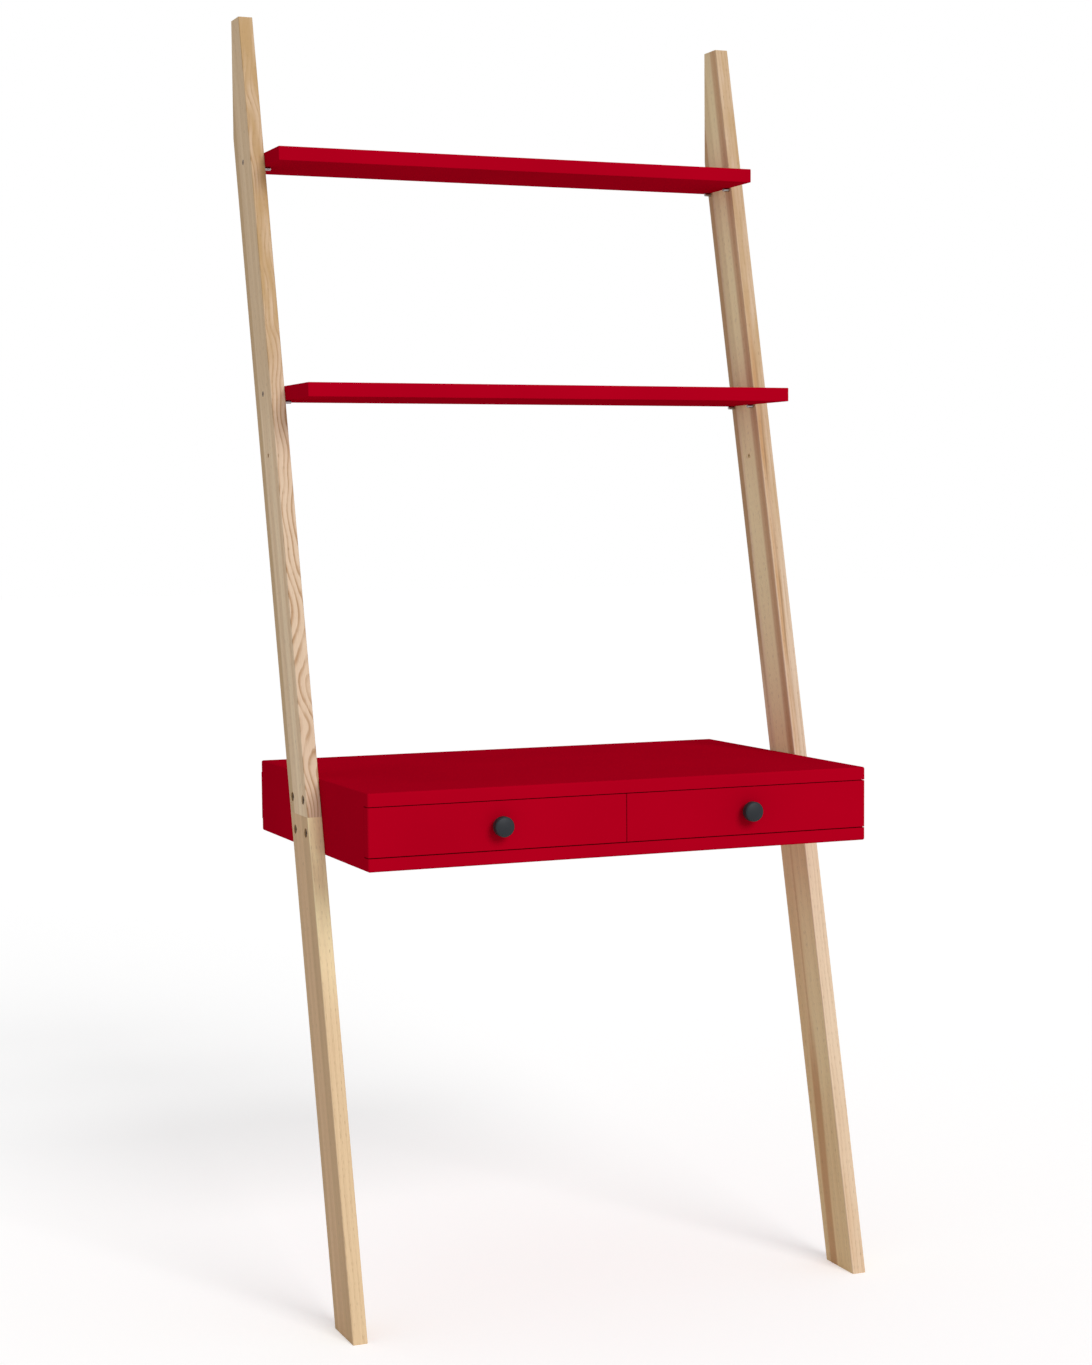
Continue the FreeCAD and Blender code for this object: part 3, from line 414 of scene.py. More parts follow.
def ash(name, node, cut):
    """Ash, planed and sanded, with a clear matt lacquer.

    Ring-porous wood: each growth ring starts with a line of open brown pores and ends in smooth
    pale wood. The narrow faces cut the rings into lines and arches, the broad ones show long
    soft bands, and the sawn ends show the rings themselves, darker.
    """
    colours, grain = settings().colours, settings().grain
    material, tree, place = started(name, roughness=0.52, specular=0.3)
    low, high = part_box(node)
    foot = Vector(((low.x + high.x) / 2, leg_low.y * math.cos(lean), 0)) * PER_MM
    place = add(tree, "Mapping", {"Vector": place, "Rotation": (lean, 0, 0), "Location": -foot})[0]
    across, deep, along = add(tree, "SeparateXYZ", (place,))
    seed = cut["seed"]

    # Where each face of the upright lies: 1 on the narrow faces, the right broad one, and the
    # sawn ends
    half_depth = post_depth * PER_MM / 2
    off_middle = add(tree, "Math", (deep, half_depth), operation="SUBTRACT")[0]
    off_middle = add(tree, "Math", (off_middle,), operation="ABSOLUTE")[0]
    begun, full = (half_depth - inset for inset in NARROW_INSETS)
    narrow = add(tree, "MapRange", (off_middle, begun, full))[0]
    right = add(tree, "MapRange", (across, -MIDDLE_BLEND, MIDDLE_BLEND))[0]
    grain_way = (0, math.sin(lean), math.cos(lean))
    ways = (add(tree, "TexCoord")["Normal"], grain_way)
    facing = add(tree, "VectorMath", ways, operation="DOT_PRODUCT")["Value"]
    facing = add(tree, "Math", (facing,), operation="ABSOLUTE")[0]
    end = add(tree, "MapRange", (facing, *END_SLANTS))[0]

    # Rings: they cross the narrow faces, stray along the upright and bow towards its back
    stray = cloud(tree, place, (70.0, 160.0, cut["reach"]), seed, 1.0)
    crowding = cloud(tree, place, (9.0, 12.0, 160.0), seed + 5, 1.0)
    count = across
    for source, most in ((stray, cut["wander"]), (crowding, RING_CROWDING), (deep, RING_BOW)):
        count = add(tree, "Math", (source, most, count), operation="MULTIPLY_ADD")[0]
    count = add(tree, "Math", (count, grain.ring_width * PER_MM), operation="DIVIDE")[0]
    within = add(tree, "Math", (count,), operation="FRACT")[0]
    ring = add(tree, "ValToRGB", (within,))["Color"]
    tones = ring.node.color_ramp.elements
    for position, value in RING_TONES:
        tones.new(position).color = (value, value, value, 1.0)
    for spare in (-1, 0):
        tones.remove(tones[spare])
    patchy = cloud(tree, place, (14.0, 24.0, 110.0), seed + 9, 1.0)
    patchy = add(tree, "MapRange", (patchy, 0.34, 0.56, 0.3, 1.0))[0]
    figure = add(tree, "MapRange", (narrow, 0.0, 1.0, BROAD_FIGURE, cut["figure"]))[0]
    figure = add(tree, "Math", (figure, patchy), operation="MULTIPLY")[0]
    end_figure = add(tree, "Math", (end, END_FIGURE), operation="MULTIPLY")[0]
    figure = add(tree, "Math", (figure, end_figure), operation="MAXIMUM")[0]
    ring_share = add(tree, "Math", (ring, figure), operation="MULTIPLY")[0]

    # Slow changes of tone in long bands, and fine fibres
    pale, deeper = (
        layered(tree, linear(left_tone), (right, linear(right_tone)))
        for left_tone, right_tone in zip(cut["left_tones"], cut["right_tones"])
    )
    bands = cloud(tree, place, (9.0, 13.0, 620.0), seed + 13)
    bands = add(tree, "MapRange", (bands, 0.33, 0.68))[0]
    fibre_size = (grain.fibre_width * PER_MM,) * 2 + (grain.fibre_length * PER_MM,)
    fibres = cloud(tree, place, fibre_size, seed + 21, 3.0)
    fibres = add(tree, "MapRange", (fibres, *CLOUD_SPAN, 0.0, 0.2))[0]
    darkened = add(tree, "Math", (end, END_DARKENING), operation="MULTIPLY")[0]
    body = layered(
        tree,
        pale,
        (bands, deeper),
        (narrow, linear(cut["edge_tone"])),
        (fibres, colours.ring),
        (ring_share, colours.ring),
        (darkened, colours.ring),
    )

    # Brown streaks on the broad faces, stains on the narrow ones, and pale bands of painted light where the
    # desk shades the uprights
    broad = add(tree, "Math", (1.0, narrow), operation="SUBTRACT")[0]
    left = add(tree, "Math", (1.0, right), operation="SUBTRACT")[0]
    broad_left = add(tree, "Math", (broad, left), operation="MULTIPLY")[0]
    patches = cloud(tree, place, (12.0, 30.0, 80.0), seed + 17, 1.0)
    patches = add(tree, "MapRange", (patches, 0.35, 0.65, 0.5, 1.35))[0]
    patches = add(tree, "Math", (narrow, patches), operation="MULTIPLY")[0]
    marks = [(mark, deep, STREAK_END, broad_left if mark["left_only"] else broad) for mark in cut["streaks"]]
    marks += [(mark, across, STAIN_END, patches) for mark in cut["stains"]]
    for mark, position, fade, where in marks:
        share = strip(tree, place, position, along, mark, seed, fade)
        share = add(tree, "Math", (share, where), operation="MULTIPLY")[0]
        body = layered(tree, body, (share, getattr(colours, mark["tone"])))

    # Pores: short dashes, most of them in the early wood
    pore_size = (grain.pore_width * PER_MM,) * 2 + (grain.pore_length * PER_MM,)
    pores = cloud(tree, place, pore_size, seed + 31, 0.0)
    pores = add(tree, "MapRange", (pores, 0.62, 0.72))[0]
    crowd = add(tree, "MapRange", (ring, 0.0, 1.0, 0.12, 0.6))[0]
    pores = add(tree, "Math", (pores, crowd), operation="MULTIPLY")[0]
    body = layered(tree, body, (pores, colours.pore))
    filled = add(tree, "Math", (1.0, pores), operation="SUBTRACT")[0]
    return surfaced(material, body, filled, 0.08, 0.6)


def red_lacquer(name):
    """Polyurethane lacquer sprayed on fibreboard: matt, even, with the faint ripple of spraying."""
    material, tree, place = started(name, roughness=0.6, specular=0.0)
    colour = shaded(tree, settings().colours.red, mottling(tree, place, 180.0), 0.93)
    ripple = cloud(tree, place, (settings().grain.lacquer_ripple * PER_MM,) * 3, 8.0)
    return surfaced(material, colour, ripple, 0.03, 0.35)


def melamine(name):
    """White melamine on chipboard: a hard satin face with a very fine pearl texture."""
    material, tree, place = started(name, roughness=0.45)
    colour = shaded(tree, settings().colours.drawer_board, mottling(tree, place, 60.0), 0.95)
    return surfaced(material, colour, cloud(tree, place, (0.9,) * 3, 6.0), 0.03)


def painted_hardboard(name):
    """Hardboard sheet: painted white on its upper face, raw brown matted fibre underneath."""
    colours = settings().colours
    material, tree, place = started(name, roughness=0.55, specular=0.35)
    up = add(tree, "SeparateXYZ", (add(tree, "TexCoord")["Normal"],))["Z"]
    below = add(tree, "MapRange", (up, -0.5, 0.5, 1.0, 0.0))[0]
    matted = mottling(tree, place, 2.5, 0.5, 3.0, 4.0)
    raw = shaded(tree, colours.hardboard, matted, 0.6)
    painted = shaded(tree, colours.drawer_board, mottling(tree, place, 80.0, 0.6), 0.93)
    return surfaced(material, layered(tree, painted, (below, raw)), matted, 0.05)


def enamelled_steel(name):
    """Rolled steel with a white epoxy coat: smooth and even, with a slight orange peel."""
    material, tree, place = started(name, roughness=0.33)
    colour = shaded(tree, settings().colours.runner, mottling(tree, place, 30.0), 0.94)
    peel = cloud(tree, place, (settings().grain.enamel_ripple * PER_MM,) * 3, 2.0)
    return surfaced(material, colour, peel, 0.04)


def moulded_nylon(name):
    """Injection-moulded nylon: milky, a little waxy, with the matt skin of its mould."""
    material, tree, place = started(name, roughness=0.42)
    sockets = tree.nodes[SHADER].inputs
    sockets["Subsurface Weight"].default_value = 0.15
    sockets["Subsurface Radius"].default_value = (1.0 * MM, 0.9 * MM, 0.8 * MM)
    colour = shaded(tree, settings().colours.nylon, mottling(tree, place, 3.0), 0.92)
    return surfaced(material, colour, cloud(tree, place, (0.4,) * 3, 5.0), 0.02)


def plated_zinc(name):
    """Bright zinc plating on steel: cool grey, softly mottled, with uneven gloss."""
    material, tree, place = started(name, metallic=1.0)
    spangle = mottling(tree, place, 1.8)
    gloss = add(tree, "MapRange", (spangle, 0.0, 1.0, 0.28, 0.42))[0]
    tree.links.new(gloss, tree.nodes[SHADER].inputs["Roughness"])
    colour = shaded(tree, settings().colours.zinc, spangle, 0.78)
    return surfaced(material, colour, cloud(tree, place, (0.5,) * 3, 7.0), 0.01, 0.4)


def black_oxide(name):
    """Black-oxide steel: a dark grey-brown, oily satin, lighter where the oxide is thin."""
    material, tree, place = started(name, roughness=0.46, metallic=1.0)
    thin = add(tree, "MapRange", (cloud(tree, place, (1.4,) * 3), 0.35, 0.7))[0]
    colour = shaded(tree, settings().colours.black_oxide, thin, 1.5)
    return surfaced(material, colour, cloud(tree, place, (0.3,) * 3, 2.0), 0.01)


def matt_anthracite(name):
    """Matt anthracite coat on a turned knob: fine grit that spreads its highlight wide."""
    material, tree, place = started(name, specular=0.25)
    grit = cloud(tree, place, (0.5,) * 3, 1.0, 3.0)
    speck = add(tree, "MapRange", (grit, *CLOUD_SPAN))[0]
    return surfaced(material, shaded(tree, settings().colours.knob, speck, 0.8), grit, 0.03)


def beech(name):
    """Raw beech dowel: pinkish tan with short darker flecks along it."""
    material, tree, place = started(name, roughness=0.65, specular=0.3)
    fleck = cloud(tree, place, (0.8, 0.8, 2.5), 9.0)
    fleck = add(tree, "MapRange", (fleck, 0.5, 0.65, 0.0, 0.5))[0]
    return surfaced(material, shaded(tree, settings().colours.beech, fleck, 0.6), fleck, 0.05)


def coat(material, *nodes):
    """Puts a material on whole nodes of the frame."""
    for node in nodes:
        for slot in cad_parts[node].material_slots:
            slot.material = material


def red():
    return finished("Red matt lacquer on fibreboard", red_lacquer)


def zinc():
    return finished("Zinc-plated steel", plated_zinc)


def blackened():
    return finished("Black-oxide steel", black_oxide)


# ---------------------------------------------------------------- shapes
def arc(centre, radius, first, last, steps):
    """(radius, height) pairs along an arc between two angles from the radial direction."""
    angles = [math.radians(first + (last - first) * step / steps) for step in range(steps + 1)]
    return [(centre[0] + radius * math.cos(a), centre[1] + radius * math.sin(a)) for a in angles]


def spun(outline, closed=False):
    """Turns (radius, height) pairs about +Z."""
    mesh = bmesh.new()
    points = [mesh.verts.new((radius, 0, height)) for radius, height in outline]
    following = points[1:] + points[:1] if closed else points[1:]
    edges = [mesh.edges.new(pair) for pair in zip(points, following)]
    bmesh.ops.spin(
        mesh,
        geom=points + edges,
        cent=(0, 0, 0),
        axis=(0, 0, 1),
        dvec=(0, 0, 0),
        angle=math.tau,
        steps=settings().fittings.facets,
        use_merge=True,
    )
    bmesh.ops.remove_doubles(mesh, verts=mesh.verts, dist=SAME_PLACE)
    bmesh.ops.recalc_face_normals(mesh, faces=mesh.faces)
    return mesh


def hexagon(half_across):
    """Radius of a hexagon at an angle, from half the distance across its flats."""
    sixth = math.tau / 6
    return lambda angle: half_across / math.cos((angle + sixth / 2) % sixth - sixth / 2)


def cross(reach, waist=0.42):
    """Radius of a cross recess at an angle, from its arms' reach and its waist's share of that."""
    return lambda angle: reach * (waist + (1 - waist) * abs(math.cos(2 * angle)) ** 3)


def sink_recess(mesh, shape, depth, taper=0.86):
    """Gives the open ring round the axis a drive's shape and sinks it into the head."""
    rim = [edge for edge in mesh.edges if edge.is_boundary]
    for vert in {vert for edge in rim for vert in edge.verts}:
        angle = math.atan2(vert.co.y, vert.co.x)
        vert.co.xy = Vector((math.cos(angle), math.sin(angle))) * shape(angle)
    sunk = bmesh.ops.extrude_edge_only(mesh, edges=rim)["geom"]
    floor = [item for item in sunk if isinstance(item, bmesh.types.BMVert)]
    bmesh.ops.scale(mesh, vec=(taper, taper, 1), verts=floor)
    bmesh.ops.translate(mesh, vec=(0, 0, depth), verts=floor)
    bmesh.ops.edgeloop_fill(mesh, edges=[edge for edge in mesh.edges if edge.is_boundary])
    bmesh.ops.recalc_face_normals(mesh, faces=mesh.faces)


def wind_thread(mesh, core, crest, start, end, pitch):
    """Winds a sharp ridge round a screw's core, with its foot sunk a little into it."""
    turns = (end - start) / pitch
    steps = max(3, round(turns * THREAD_STEPS))
    foot, ridge = core * 0.96, pitch * 0.4
    section = ((foot, start), (crest, start + ridge / 2), (foot, start + ridge))
    points = [mesh.verts.new((radius, 0, height)) for radius, height in section]
    edges = [mesh.edges.new(pair) for pair in zip(points, points[1:] + points[:1])]
    bmesh.ops.spin(
        mesh,
        geom=points + edges,
        cent=(0, 0, 0),
        axis=(0, 0, 1),
        dvec=(0, 0, (end - start - ridge) / steps),
        angle=math.tau * turns,
        steps=steps,
        use_merge=False,
    )
    bmesh.ops.holes_fill(mesh, edges=[edge for edge in mesh.edges if edge.is_boundary], sides=3)
    bmesh.ops.recalc_face_normals(mesh, faces=mesh.faces)


def repeated(shape, places):
    """One mesh with the shape at each place: its origin at the point, its +Z along the way."""
    whole = bmesh.new()
    template = bpy.data.meshes.new("template")
    shape.to_mesh(template)
    shape.free()
    for point, way in places:
        first = len(whole.verts)
        whole.from_mesh(template)
        whole.verts.ensure_lookup_table()
        turn = Vector((0, 0, 1)).rotation_difference(way).to_matrix().to_4x4()
        bmesh.ops.transform(whole, matrix=Matrix.Translation(point) @ turn, verts=whole.verts[first:])
    bpy.data.meshes.remove(template)
    return whole


def joined(meshes):
    """Several meshes as one."""
    whole = bmesh.new()
    for mesh in meshes:
        template = bpy.data.meshes.new("template")
        mesh.to_mesh(template)
        mesh.free()
        whole.from_mesh(template)
        bpy.data.meshes.remove(template)
    return whole


def put_in_order(mesh):
    """Gives a mesh's faces a fixed order, because spin leaves theirs to chance."""
    mesh.verts.index_update()
    faces = sorted(mesh.faces, key=lambda face: sorted(vert.index for vert in face.verts))
    for number, face in enumerate(faces):
        face.index = number
    mesh.faces.sort()


def piece(name, mesh, material, body, slot, *nodes):
    """A finished piece that rides on a body and stands for nodes of the frame."""
    put_in_order(mesh)
    data = bpy.data.meshes.new(name)
    mesh.to_mesh(data)
    mesh.free()
    data.materials.append(material)
    data.shade_smooth()
    data.set_sharp_from_angle(angle=SHARP_FROM)
    thing = bpy.data.objects.new(name, data)
    bpy.context.scene.collection.objects.link(thing)
    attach(thing, body)
    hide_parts(*nodes)


# ---------------------------------------------------------------- where the frame's fittings are
def solids_of(node):
    """The vertices of each separate solid in a node."""
    mesh = bmesh.new()
    mesh.from_mesh(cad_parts[node].data)
    bmesh.ops.remove_doubles(mesh, verts=mesh.verts, dist=SAME_PLACE)
    solids, seen = [], set()
    for start in mesh.verts:
        if start in seen:
            continue
        seen.add(start)
        solid, waiting = [], [start]
        while waiting:
            vert = waiting.pop()
            solid.append(vert.co.copy())
            for edge in vert.link_edges:
                other = edge.other_vert(vert)
                if other not in seen:
                    seen.add(other)
                    waiting.append(other)
        solids.append(solid)
    mesh.free()
    return solids


def box_of(points):
    """The lowest and the highest corner of some points' box."""
    return [Vector([pick(point[axis] for point in points) for axis in range(3)]) for pick in (min, max)]


def lie(low, high, axis, from_low, radius):
    """How a turned fitting lies: where it starts, its way from there, its length and its radius."""
    start, way = (low + high) / 2, Vector((0, 0, 0))
    start[axis] = low[axis] if from_low else high[axis]
    way[axis] = 1 if from_low else -1
    return {"start": start, "way": way, "length": (high - low)[axis], "radius": radius}


def screw_of(points):
    """How a screw or bolt lies, from its head's end, and its head's radius."""
    low, high = box_of(points)
    size, centre = high - low, (low + high) / 2
    axis = max(range(3), key=lambda i: size[i])
    others = [i for i in range(3) if i != axis]
    radius = size[others[0]] / 2

    def away(point):
        return math.hypot(*(point[i] - centre[i] for i in others))

    head = [point[axis] for point in points if away(point) > radius * 0.99]
    head_low = abs(min(head) - low[axis]) < abs(max(head) - high[axis])
    return lie(low, high, axis, head_low, radius)


def cam_of(points, boards):
    """How a cam lies, from its open face, which is flush with a face of one of the boards."""
    low, high = box_of(points)
    size = high - low
    axis = min(range(3), key=lambda i: size[i])
    faces = [corner[axis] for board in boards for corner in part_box(board)]
    open_low = any(abs(face - low[axis]) < 0.1 * MM for face in faces)
    return lie(low, high, axis, open_low, max(size) / 2)


def is_long(points):
    """Whether a solid is a screw or bolt: well longer than it is wide, as no cam is."""
    low, high = box_of(points)
    extents = sorted(high - low)
    return extents[2] > 1.5 * extents[1]


def screws_of(node):
    """How each screw or bolt of a node lies."""
    return [screw_of(points) for points in solids_of(node) if is_long(points)]


# ---------------------------------------------------------------- screws and cams
def threaded(head, length, shank, plain, point, recess, recess_depth, pitch):
    """A screw from its head's outline down to a blunt point.

    plain: where its smooth shank ends; point: how long its point is; recess: the drive's shape.
    """
    core = shank * THREAD_CORE
    slope = [(shank, plain), (core, plain + shank * 0.3)]
    tip = [(core, length - point), (core * 0.25, length), (0, length)]
    mesh = spun(head + slope + tip)
    sink_recess(mesh, recess, recess_depth)
    wind_thread(mesh, core, shank, plain + shank * 0.4, length - point * 0.6, pitch)
    return mesh


def countersunk(length, head, cone, shank, *drive):
    """A screw whose flush head is a cone of this height."""
    outline = [(head * 0.55, 0), (head * 0.97, 0), (head, head * 0.05), (shank, cone)]
    point = min(shank * 2.2, length * 0.2)
    return threaded(outline, length, shank, cone + length * 0.12, point, *drive)


def pan_headed(length, head, head_height, shank, *drive):
    """A screw with a low rounded head."""
    edge = head_height * 0.55
    outline = [
        (head * 0.5, 0),
        (head * 0.68, head_height * 0.06),
        *arc((head - edge, edge), edge, -75, 0, 5),
        (head, head_height),
        (shank, head_height),
    ]
    return threaded(outline, length, shank, head_height + shank * 0.6, shank * 2.2, *drive)


def cam_disc(depth, radius, reach):
    """A die-cast cam: a flanged drum with a cross recess in its open face."""
    drum = radius - 0.5 * MM
    outline = [
        (reach * 1.1, 0.3 * MM),
        (reach * 1.35, 0),
        (drum, 0),
        (radius, 0.4 * MM),
        (radius, 1.8 * MM),
        (drum, 2.2 * MM),
        (drum, depth - 0.6 * MM),
        (radius - 1.1 * MM, depth),
        (0, depth),
    ]
    mesh = spun(outline)
    sink_recess(mesh, cross(reach), 2.6 * MM)
    return mesh


def cam_bolt(length, radius):
    """A smooth bolt with a collared head that its cam grips."""
    neck, shank = radius * 0.6, radius * 0.86
    outline = [
        (0, 0),
        (radius * 0.8, 0),
        (radius, radius * 0.25),
        (radius, radius * 0.9),
        (neck, radius * 1.3),
        (neck, radius * 2.2),
        (shank, radius * 2.6),
        (shank, length - radius * 0.4),
        (radius * 0.5, length),
        (0, length),
    ]
    return spun(outline)


def copies(make, fittings, *sizes):
    """One fitting of these sizes at each place; the first place gives its length and radius."""
    shape = make(fittings[0]["length"], fittings[0]["radius"], *sizes)
    return repeated(shape, [(fitting["start"], fitting["way"]) for fitting in fittings])


# ---------------------------------------------------------------- operators
class DeskPiece:
    """What every operator of the desk shares."""

    bl_options = {"REGISTER", "UNDO"}


class DESK_OT_finish_uprights(DeskPiece, bpy.types.Operator):
    """Gives each upright its own cut of lacquered ash"""

    bl_idname = "desk.finish_uprights"
    bl_label = "Ash uprights"

    def execute(self, context):
        for node, cut in ASH_CUTS.items():
            name = "Ash with clear matt lacquer, " + node.replace("_", " ")
            coat(ash(name, node, cut), node)
        return {"FINISHED"}


class DESK_OT_finish_boards(DeskPiece, bpy.types.Operator):
    """Lacquers the case, the shelves and the drawer fronts red"""

    bl_idname = "desk.finish_boards"
    bl_label = "Red boards"

    def execute(self, context):
        case = ["desk_top", "desk_bottom", "centre_divider", "back_panel"]
        panels = ["side_panel_" + hand for hand in HANDS]
        fronts = [hand + "_drawer_front" for hand in HANDS]
        coat(red(), *case, *panels, *fronts, "shelf_lower", "shelf_upper")
        return {"FINISHED"}


class DESK_OT_finish_drawer_boxes(DeskPiece, bpy.types.Operator):
    """Gives the drawer boxes their white melamine and painted hardboard"""

    bl_idname = "desk.finish_drawer_boxes"
    bl_label = "Drawer boxes"

    def execute(self, context):
        board = finished("White melamine on chipboard", melamine)
        sheet = finished("White-painted hardboard", painted_hardboard)
        for hand in HANDS:
            sides = [f"{hand}_drawer_side_{side}" for side in SIDES]
            coat(board, hand + "_drawer_back", *sides)
            coat(sheet, hand + "_drawer_bottom")
        return {"FINISHED"}


class DESK_OT_finish_runners(DeskPiece, bpy.types.Operator):
    """Enamels the members of the roller runners white"""

    bl_idname = "desk.finish_runners"
    bl_label = "Runner members"

    def execute(self, context):
        enamel = finished("White epoxy-coated steel", enamelled_steel)
        for hand in HANDS:
            for side in SIDES:
                coat(enamel, f"{hand}_case_runner_{side}", f"{hand}_drawer_runner_{side}")
        return {"FINISHED"}


class DESK_OT_mould_rollers(DeskPiece, bpy.types.Operator):
    """Moulds the runners' nylon rollers, with rounded rims and hollowed faces"""

    bl_idname = "desk.mould_rollers"
    bl_label = "Rollers"

    def execute(self, context):
        sizes = settings().fittings
        nylon = finished("Moulded nylon", moulded_nylon)
        for node in (f"{hand}_{end}_roller_{side}" for hand in HANDS for end in ENDS for side in SIDES):
            low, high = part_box(node)
            radius, width = (high.z - low.z) / 2, high.x - low.x
            bore, rounding, hollow = sizes.roller_bore, sizes.roller_round, sizes.roller_hollow
            hub, rim, slope = bore + 1.4 * MM, radius - 1.5 * MM, 0.3 * MM
            half = [
                (bore, slope),
                (bore + slope, 0),
                (hub, 0),
                (hub + slope, hollow),
                (rim - slope, hollow),
                (rim, 0),
                *arc((radius - rounding, rounding), rounding, -90, 0, 4),
            ]
            other_half = [(reach, width - height) for reach, height in reversed(half)]
            start = Vector((low.x, (low.y + high.y) / 2, (low.z + high.z) / 2))
            mesh = repeated(spun(half + other_half, closed=True), [(start, Vector((1, 0, 0)))])
            piece(node + "_moulded", mesh, nylon, node, "nylon_roller", node)
        return {"FINISHED"}


class DESK_OT_turn_knobs(DeskPiece, bpy.types.Operator):
    """Turns the two knobs: a waisted neck and a thick cap with a domed face"""

    bl_idname = "desk.turn_knobs"
    bl_label = "Knobs"

    def execute(self, context):
        sizes = settings().fittings
        matt = finished("Matt anthracite coat", matt_anthracite)
        for hand in HANDS:
            low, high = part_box(hand + "_knob")
            radius, projection = (high.x - low.x) / 2, high.y - low.y
            dome_radius = (radius**2 + sizes.knob_dome**2) / (2 * sizes.knob_dome)
            dome_centre = projection - dome_radius
            front, back = sizes.knob_front_round, sizes.knob_back_round
            inset = radius - front
            rim_height = dome_centre + math.sqrt((dome_radius - front) ** 2 - inset**2)
            tangent = math.degrees(math.atan2(rim_height - dome_centre, inset))
            neck_end, neck_radius = sizes.knob_neck, sizes.knob_neck_radius
            sag = neck_radius - sizes.knob_waist
            hollow = ((neck_end / 2) ** 2 + sag**2) / (2 * sag)
            sweep = math.degrees(math.asin(neck_end / 2 / hollow))
            outline = [
                (0, 0),
                *arc((neck_radius - sag + hollow, neck_end / 2), hollow, 180 + sweep, 180 - sweep, 10),
                *arc((radius - back, neck_end + back), back, -90, 0, 8),
                *arc((inset, rim_height), front, 0, tangent, 10),
                *arc((0, dome_centre), dome_radius, tangent, 90, 10)[1:],
            ]
            centre = Vector(((low.x + high.x) / 2, high.y, (low.z + high.z) / 2))
            mesh = repeated(spun(outline), [(centre, Vector((0, -1, 0)))])
            piece(hand + "_knob_turned", mesh, matt, hand + "_drawer", "anthracite_knob", hand + "_knob")
        return {"FINISHED"}


class DESK_OT_drive_screws(DeskPiece, bpy.types.Operator):
    """Makes the screws with their threads and drive recesses"""

    bl_idname = "desk.drive_screws"
    bl_label = "Screws"

    def execute(self, context):
        coarse = settings().fittings.thread_pitch
        fine = coarse * 0.8
        drive = cross(2.0 * MM)
        # Sizes: the head's height, the shank's radius, the drive's shape and depth, the thread's pitch
        pan = (1.8 * MM, 1.75 * MM, drive, 1.3 * MM, fine)
        for node, *sizes in (
            ("shelf_screws", 2.4 * MM, 2.5 * MM, hexagon(1.25 * MM), 2.0 * MM, coarse),
            ("case_connectors", 2.5 * MM, 3.5 * MM, hexagon(2.0 * MM), 2.4 * MM, 3.0 * MM),
        ):
            mesh = copies(countersunk, screws_of(node), *sizes)
            piece(node + "_threaded", mesh, blackened(), "desk", "dark_steel", node)
        mesh = copies(pan_headed, screws_of("runner_screws"), *pan)
        piece("runner_screws_threaded", mesh, zinc(), "desk", "zinc_steel", "runner_screws")

        for hand in HANDS:
            node = hand + "_drawer_screws"
            screws = screws_of(node)
            crosswise = [screw for screw in screws if screw["way"].x]
            upright = [screw for screw in screws if screw["way"].z]
            sunk = copies(countersunk, crosswise, 1.6 * MM, 1.75 * MM, drive, 1.4 * MM, fine)
            mesh = joined([sunk, copies(pan_headed, upright, *pan)])
            piece(node + "_threaded", mesh, zinc(), hand + "_drawer", "zinc_steel", node)

            node = hand + "_knob_screw"
            sizes = (2.2 * MM, 2.0 * MM, cross(2.4 * MM), 1.5 * MM, coarse * 0.4)
            mesh = copies(pan_headed, screws_of(node), *sizes)
            piece(node + "_threaded", mesh, zinc(), hand + "_drawer", "zinc_steel", node)
        return {"FINISHED"}


class DESK_OT_cast_cams(DeskPiece, bpy.types.Operator):
    """Casts the cams that lock the boards together"""

    bl_idname = "desk.cast_cams"
    bl_label = "Cams"

    def execute(self, context):
        boards = ["side_panel_left", "side_panel_right", "centre_divider", "back_panel"]
        cams = [cam_of(points, boards) for points in solids_of("case_cams")]
        mesh = copies(cam_disc, cams, 3.1 * MM)  # the reach of its recess, as below
        piece("case_cams_cast", mesh, zinc(), "desk", "zinc_steel", "case_cams")
        for hand in HANDS:
            node = hand + "_drawer_cams"
            boards = [f"{hand}_drawer_side_{side}" for side in SIDES]
            cams = [cam_of(points, boards) for points in solids_of(node) if not is_long(points)]
            mesh = joined([copies(cam_disc, cams, 2.6 * MM), copies(cam_bolt, screws_of(node))])
            piece(node + "_cast", mesh, zinc(), hand + "_drawer", "zinc_steel", node)
        return {"FINISHED"}


class DESK_OT_finish_fittings(DeskPiece, bpy.types.Operator):
    """Gives bolts, inserts, pins, cam bolts and dowels their metal and wood"""

    bl_idname = "desk.finish_fittings"
    bl_label = "Bolts, pins and dowels"

    def execute(self, context):
        coat(blackened(), "frame_bolts")
        coat(zinc(), "frame_inserts", "shelf_pins", "case_cam_bolts")
        dowels = ["post_dowels", "case_dowels"] + [hand + "_drawer_dowels" for hand in HANDS]
        coat(finished("Raw beech", beech), *dowels)
        return {"FINISHED"}


class DESK_OT_set_stage(DeskPiece, bpy.types.Operator):
    """Lays the pale floor, hangs the lamp and stands the camera"""

    bl_idname = "desk.set_stage"
    bl_label = "Stage"

    def execute(self, context):
        context.scene.view_settings.view_transform = "Standard"
        lay_floor()
        light_room(context.scene)
        hang_lamp()
        stand_camera(context.scene)
        return {"FINISHED"}


# ---------------------------------------------------------------- stage
def seen_plainly(tree):
    """1 for rays that see the room itself: straight on, in gloss or through glass."""
    path = add(tree, "LightPath")
    either = add(tree, "Math", (path["Is Camera Ray"], path["Is Glossy Ray"]), operation="MAXIMUM")[0]
    return add(tree, "Math", (either, path["Is Transmission Ray"]), operation="MAXIMUM")[0]


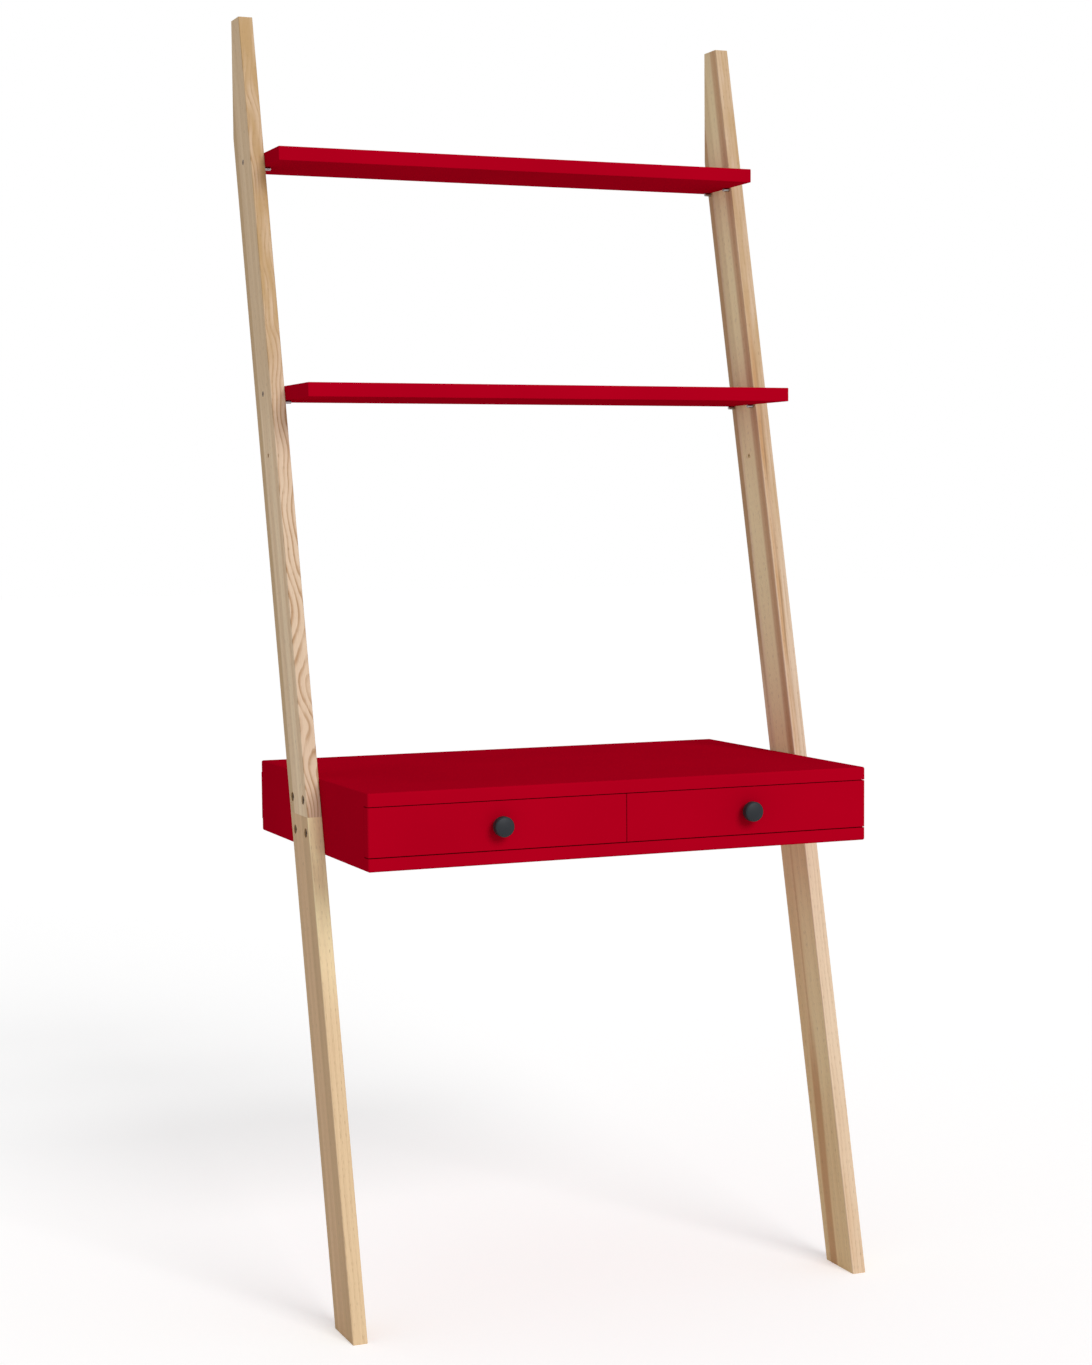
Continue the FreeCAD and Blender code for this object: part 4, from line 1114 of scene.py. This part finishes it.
def lay_floor():
    """A pale floor that looks white and keeps the desk's soft shadow. From below it is clear."""
    stage = settings().stage
    mesh = bmesh.new()
    bmesh.ops.create_grid(mesh, x_segments=1, y_segments=1, size=FLOOR_REACH)
    data = bpy.data.meshes.new("floor")
    mesh.to_mesh(data)
    mesh.free()
    material = bpy.data.materials.new("Pale studio floor")
    material.use_nodes = True
    tree = material.node_tree
    tree.nodes.clear()
    paint = add(tree, "BsdfDiffuse", {"Color": (*stage.floor, 1.0)})[0]
    lift = add(tree, "Math", (seen_plainly(tree), stage.floor_lift), operation="MULTIPLY")[0]
    glow = add(tree, "Emission", {"Strength": lift})[0]
    white = add(tree, "AddShader", (paint, glow))[0]
    clear = add(tree, "BsdfTransparent")[0]
    below = add(tree, "NewGeometry")["Backfacing"]
    seen = add(tree, "MixShader", (below, white, clear))[0]
    add(tree, "OutputMaterial", {"Surface": seen})
    data.materials.append(material)
    floor = bpy.data.objects.new("floor", data)
    bpy.context.scene.collection.objects.link(floor)


def light_room(scene):
    """Even light from all round, and a white background where the room itself is seen."""
    room = bpy.data.worlds.new("White room")
    room.use_nodes = True
    scene.world = room
    tree = room.node_tree
    tree.nodes.clear()
    ambient = settings().stage.ambient
    soft = add(tree, "Background", (WHITE, ambient))[0]
    white = add(tree, "Background", (WHITE, 1.0))[0]
    seen = add(tree, "MixShader", (seen_plainly(tree), soft, white))[0]
    add(tree, "OutputWorld", {"Surface": seen})


def hang_lamp():
    """One far lamp, wide and soft, in front of the desk, high and a little to its right."""
    stage = settings().stage
    lamp = bpy.data.lights.new("key lamp", "SUN")
    lamp.energy = stage.key_strength
    lamp.angle = stage.key_spread
    hung = bpy.data.objects.new("key lamp", lamp)
    hung.rotation_euler = Vector(stage.key_way).to_track_quat("Z", "Y").to_euler()
    bpy.context.scene.collection.objects.link(hung)


def stand_camera(scene):
    """The camera, level and looking along +Y before it is turned."""
    stage = settings().stage
    lens = bpy.data.cameras.new("camera")
    lens.sensor_width = FILM_WIDTH
    lens.lens = stage.camera_lens
    lens.shift_x, lens.shift_y = stage.camera_shift
    camera = bpy.data.objects.new("camera", lens)
    pitch, roll, yaw = stage.camera_turn
    turn = Matrix.Rotation(yaw, 4, "Z") @ Matrix.Rotation(pitch, 4, "X") @ Matrix.Rotation(roll, 4, "Y")
    upright = Matrix.Rotation(math.radians(90), 4, "X")
    camera.matrix_world = Matrix.Translation(stage.camera_place) @ turn @ upright
    scene.collection.objects.link(camera)
    scene.camera = camera


# ---------------------------------------------------------------- panel and registration
OPERATORS = (
    DESK_OT_finish_uprights,
    DESK_OT_finish_boards,
    DESK_OT_finish_drawer_boxes,
    DESK_OT_finish_runners,
    DESK_OT_mould_rollers,
    DESK_OT_turn_knobs,
    DESK_OT_drive_screws,
    DESK_OT_cast_cams,
    DESK_OT_finish_fittings,
    DESK_OT_set_stage,
)


class DESK_PT_finish(bpy.types.Panel):
    """The desk's pieces and settings"""

    bl_label = "Ladder desk"
    bl_idname = "DESK_PT_finish"
    bl_space_type = "VIEW_3D"
    bl_region_type = "UI"
    bl_category = "Ladder desk"

    def draw(self, context):
        desk = context.scene.ladder_desk
        for group in (desk.colours, desk.grain, desk.fittings, desk.stage):
            box = self.layout.box()
            for name in group.__annotations__:
                box.prop(group, name)
        for operator in OPERATORS:
            self.layout.operator(operator.bl_idname)


GROUPS = (DeskColours, DeskGrain, DeskFittings, DeskStage, DeskSettings)
CLASSES = (*GROUPS, *OPERATORS, DESK_PT_finish)


def register():
    for kind in CLASSES:
        bpy.utils.register_class(kind)
    bpy.types.Scene.ladder_desk = PointerProperty(type=DeskSettings)


def unregister():
    del bpy.types.Scene.ladder_desk
    for kind in reversed(CLASSES):
        bpy.utils.unregister_class(kind)


def main():
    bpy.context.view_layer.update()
    register()
    for operator in OPERATORS:
        group, name = operator.bl_idname.split(".")
        getattr(getattr(bpy.ops, group), name)()


if __name__ == "__main__":
    main()
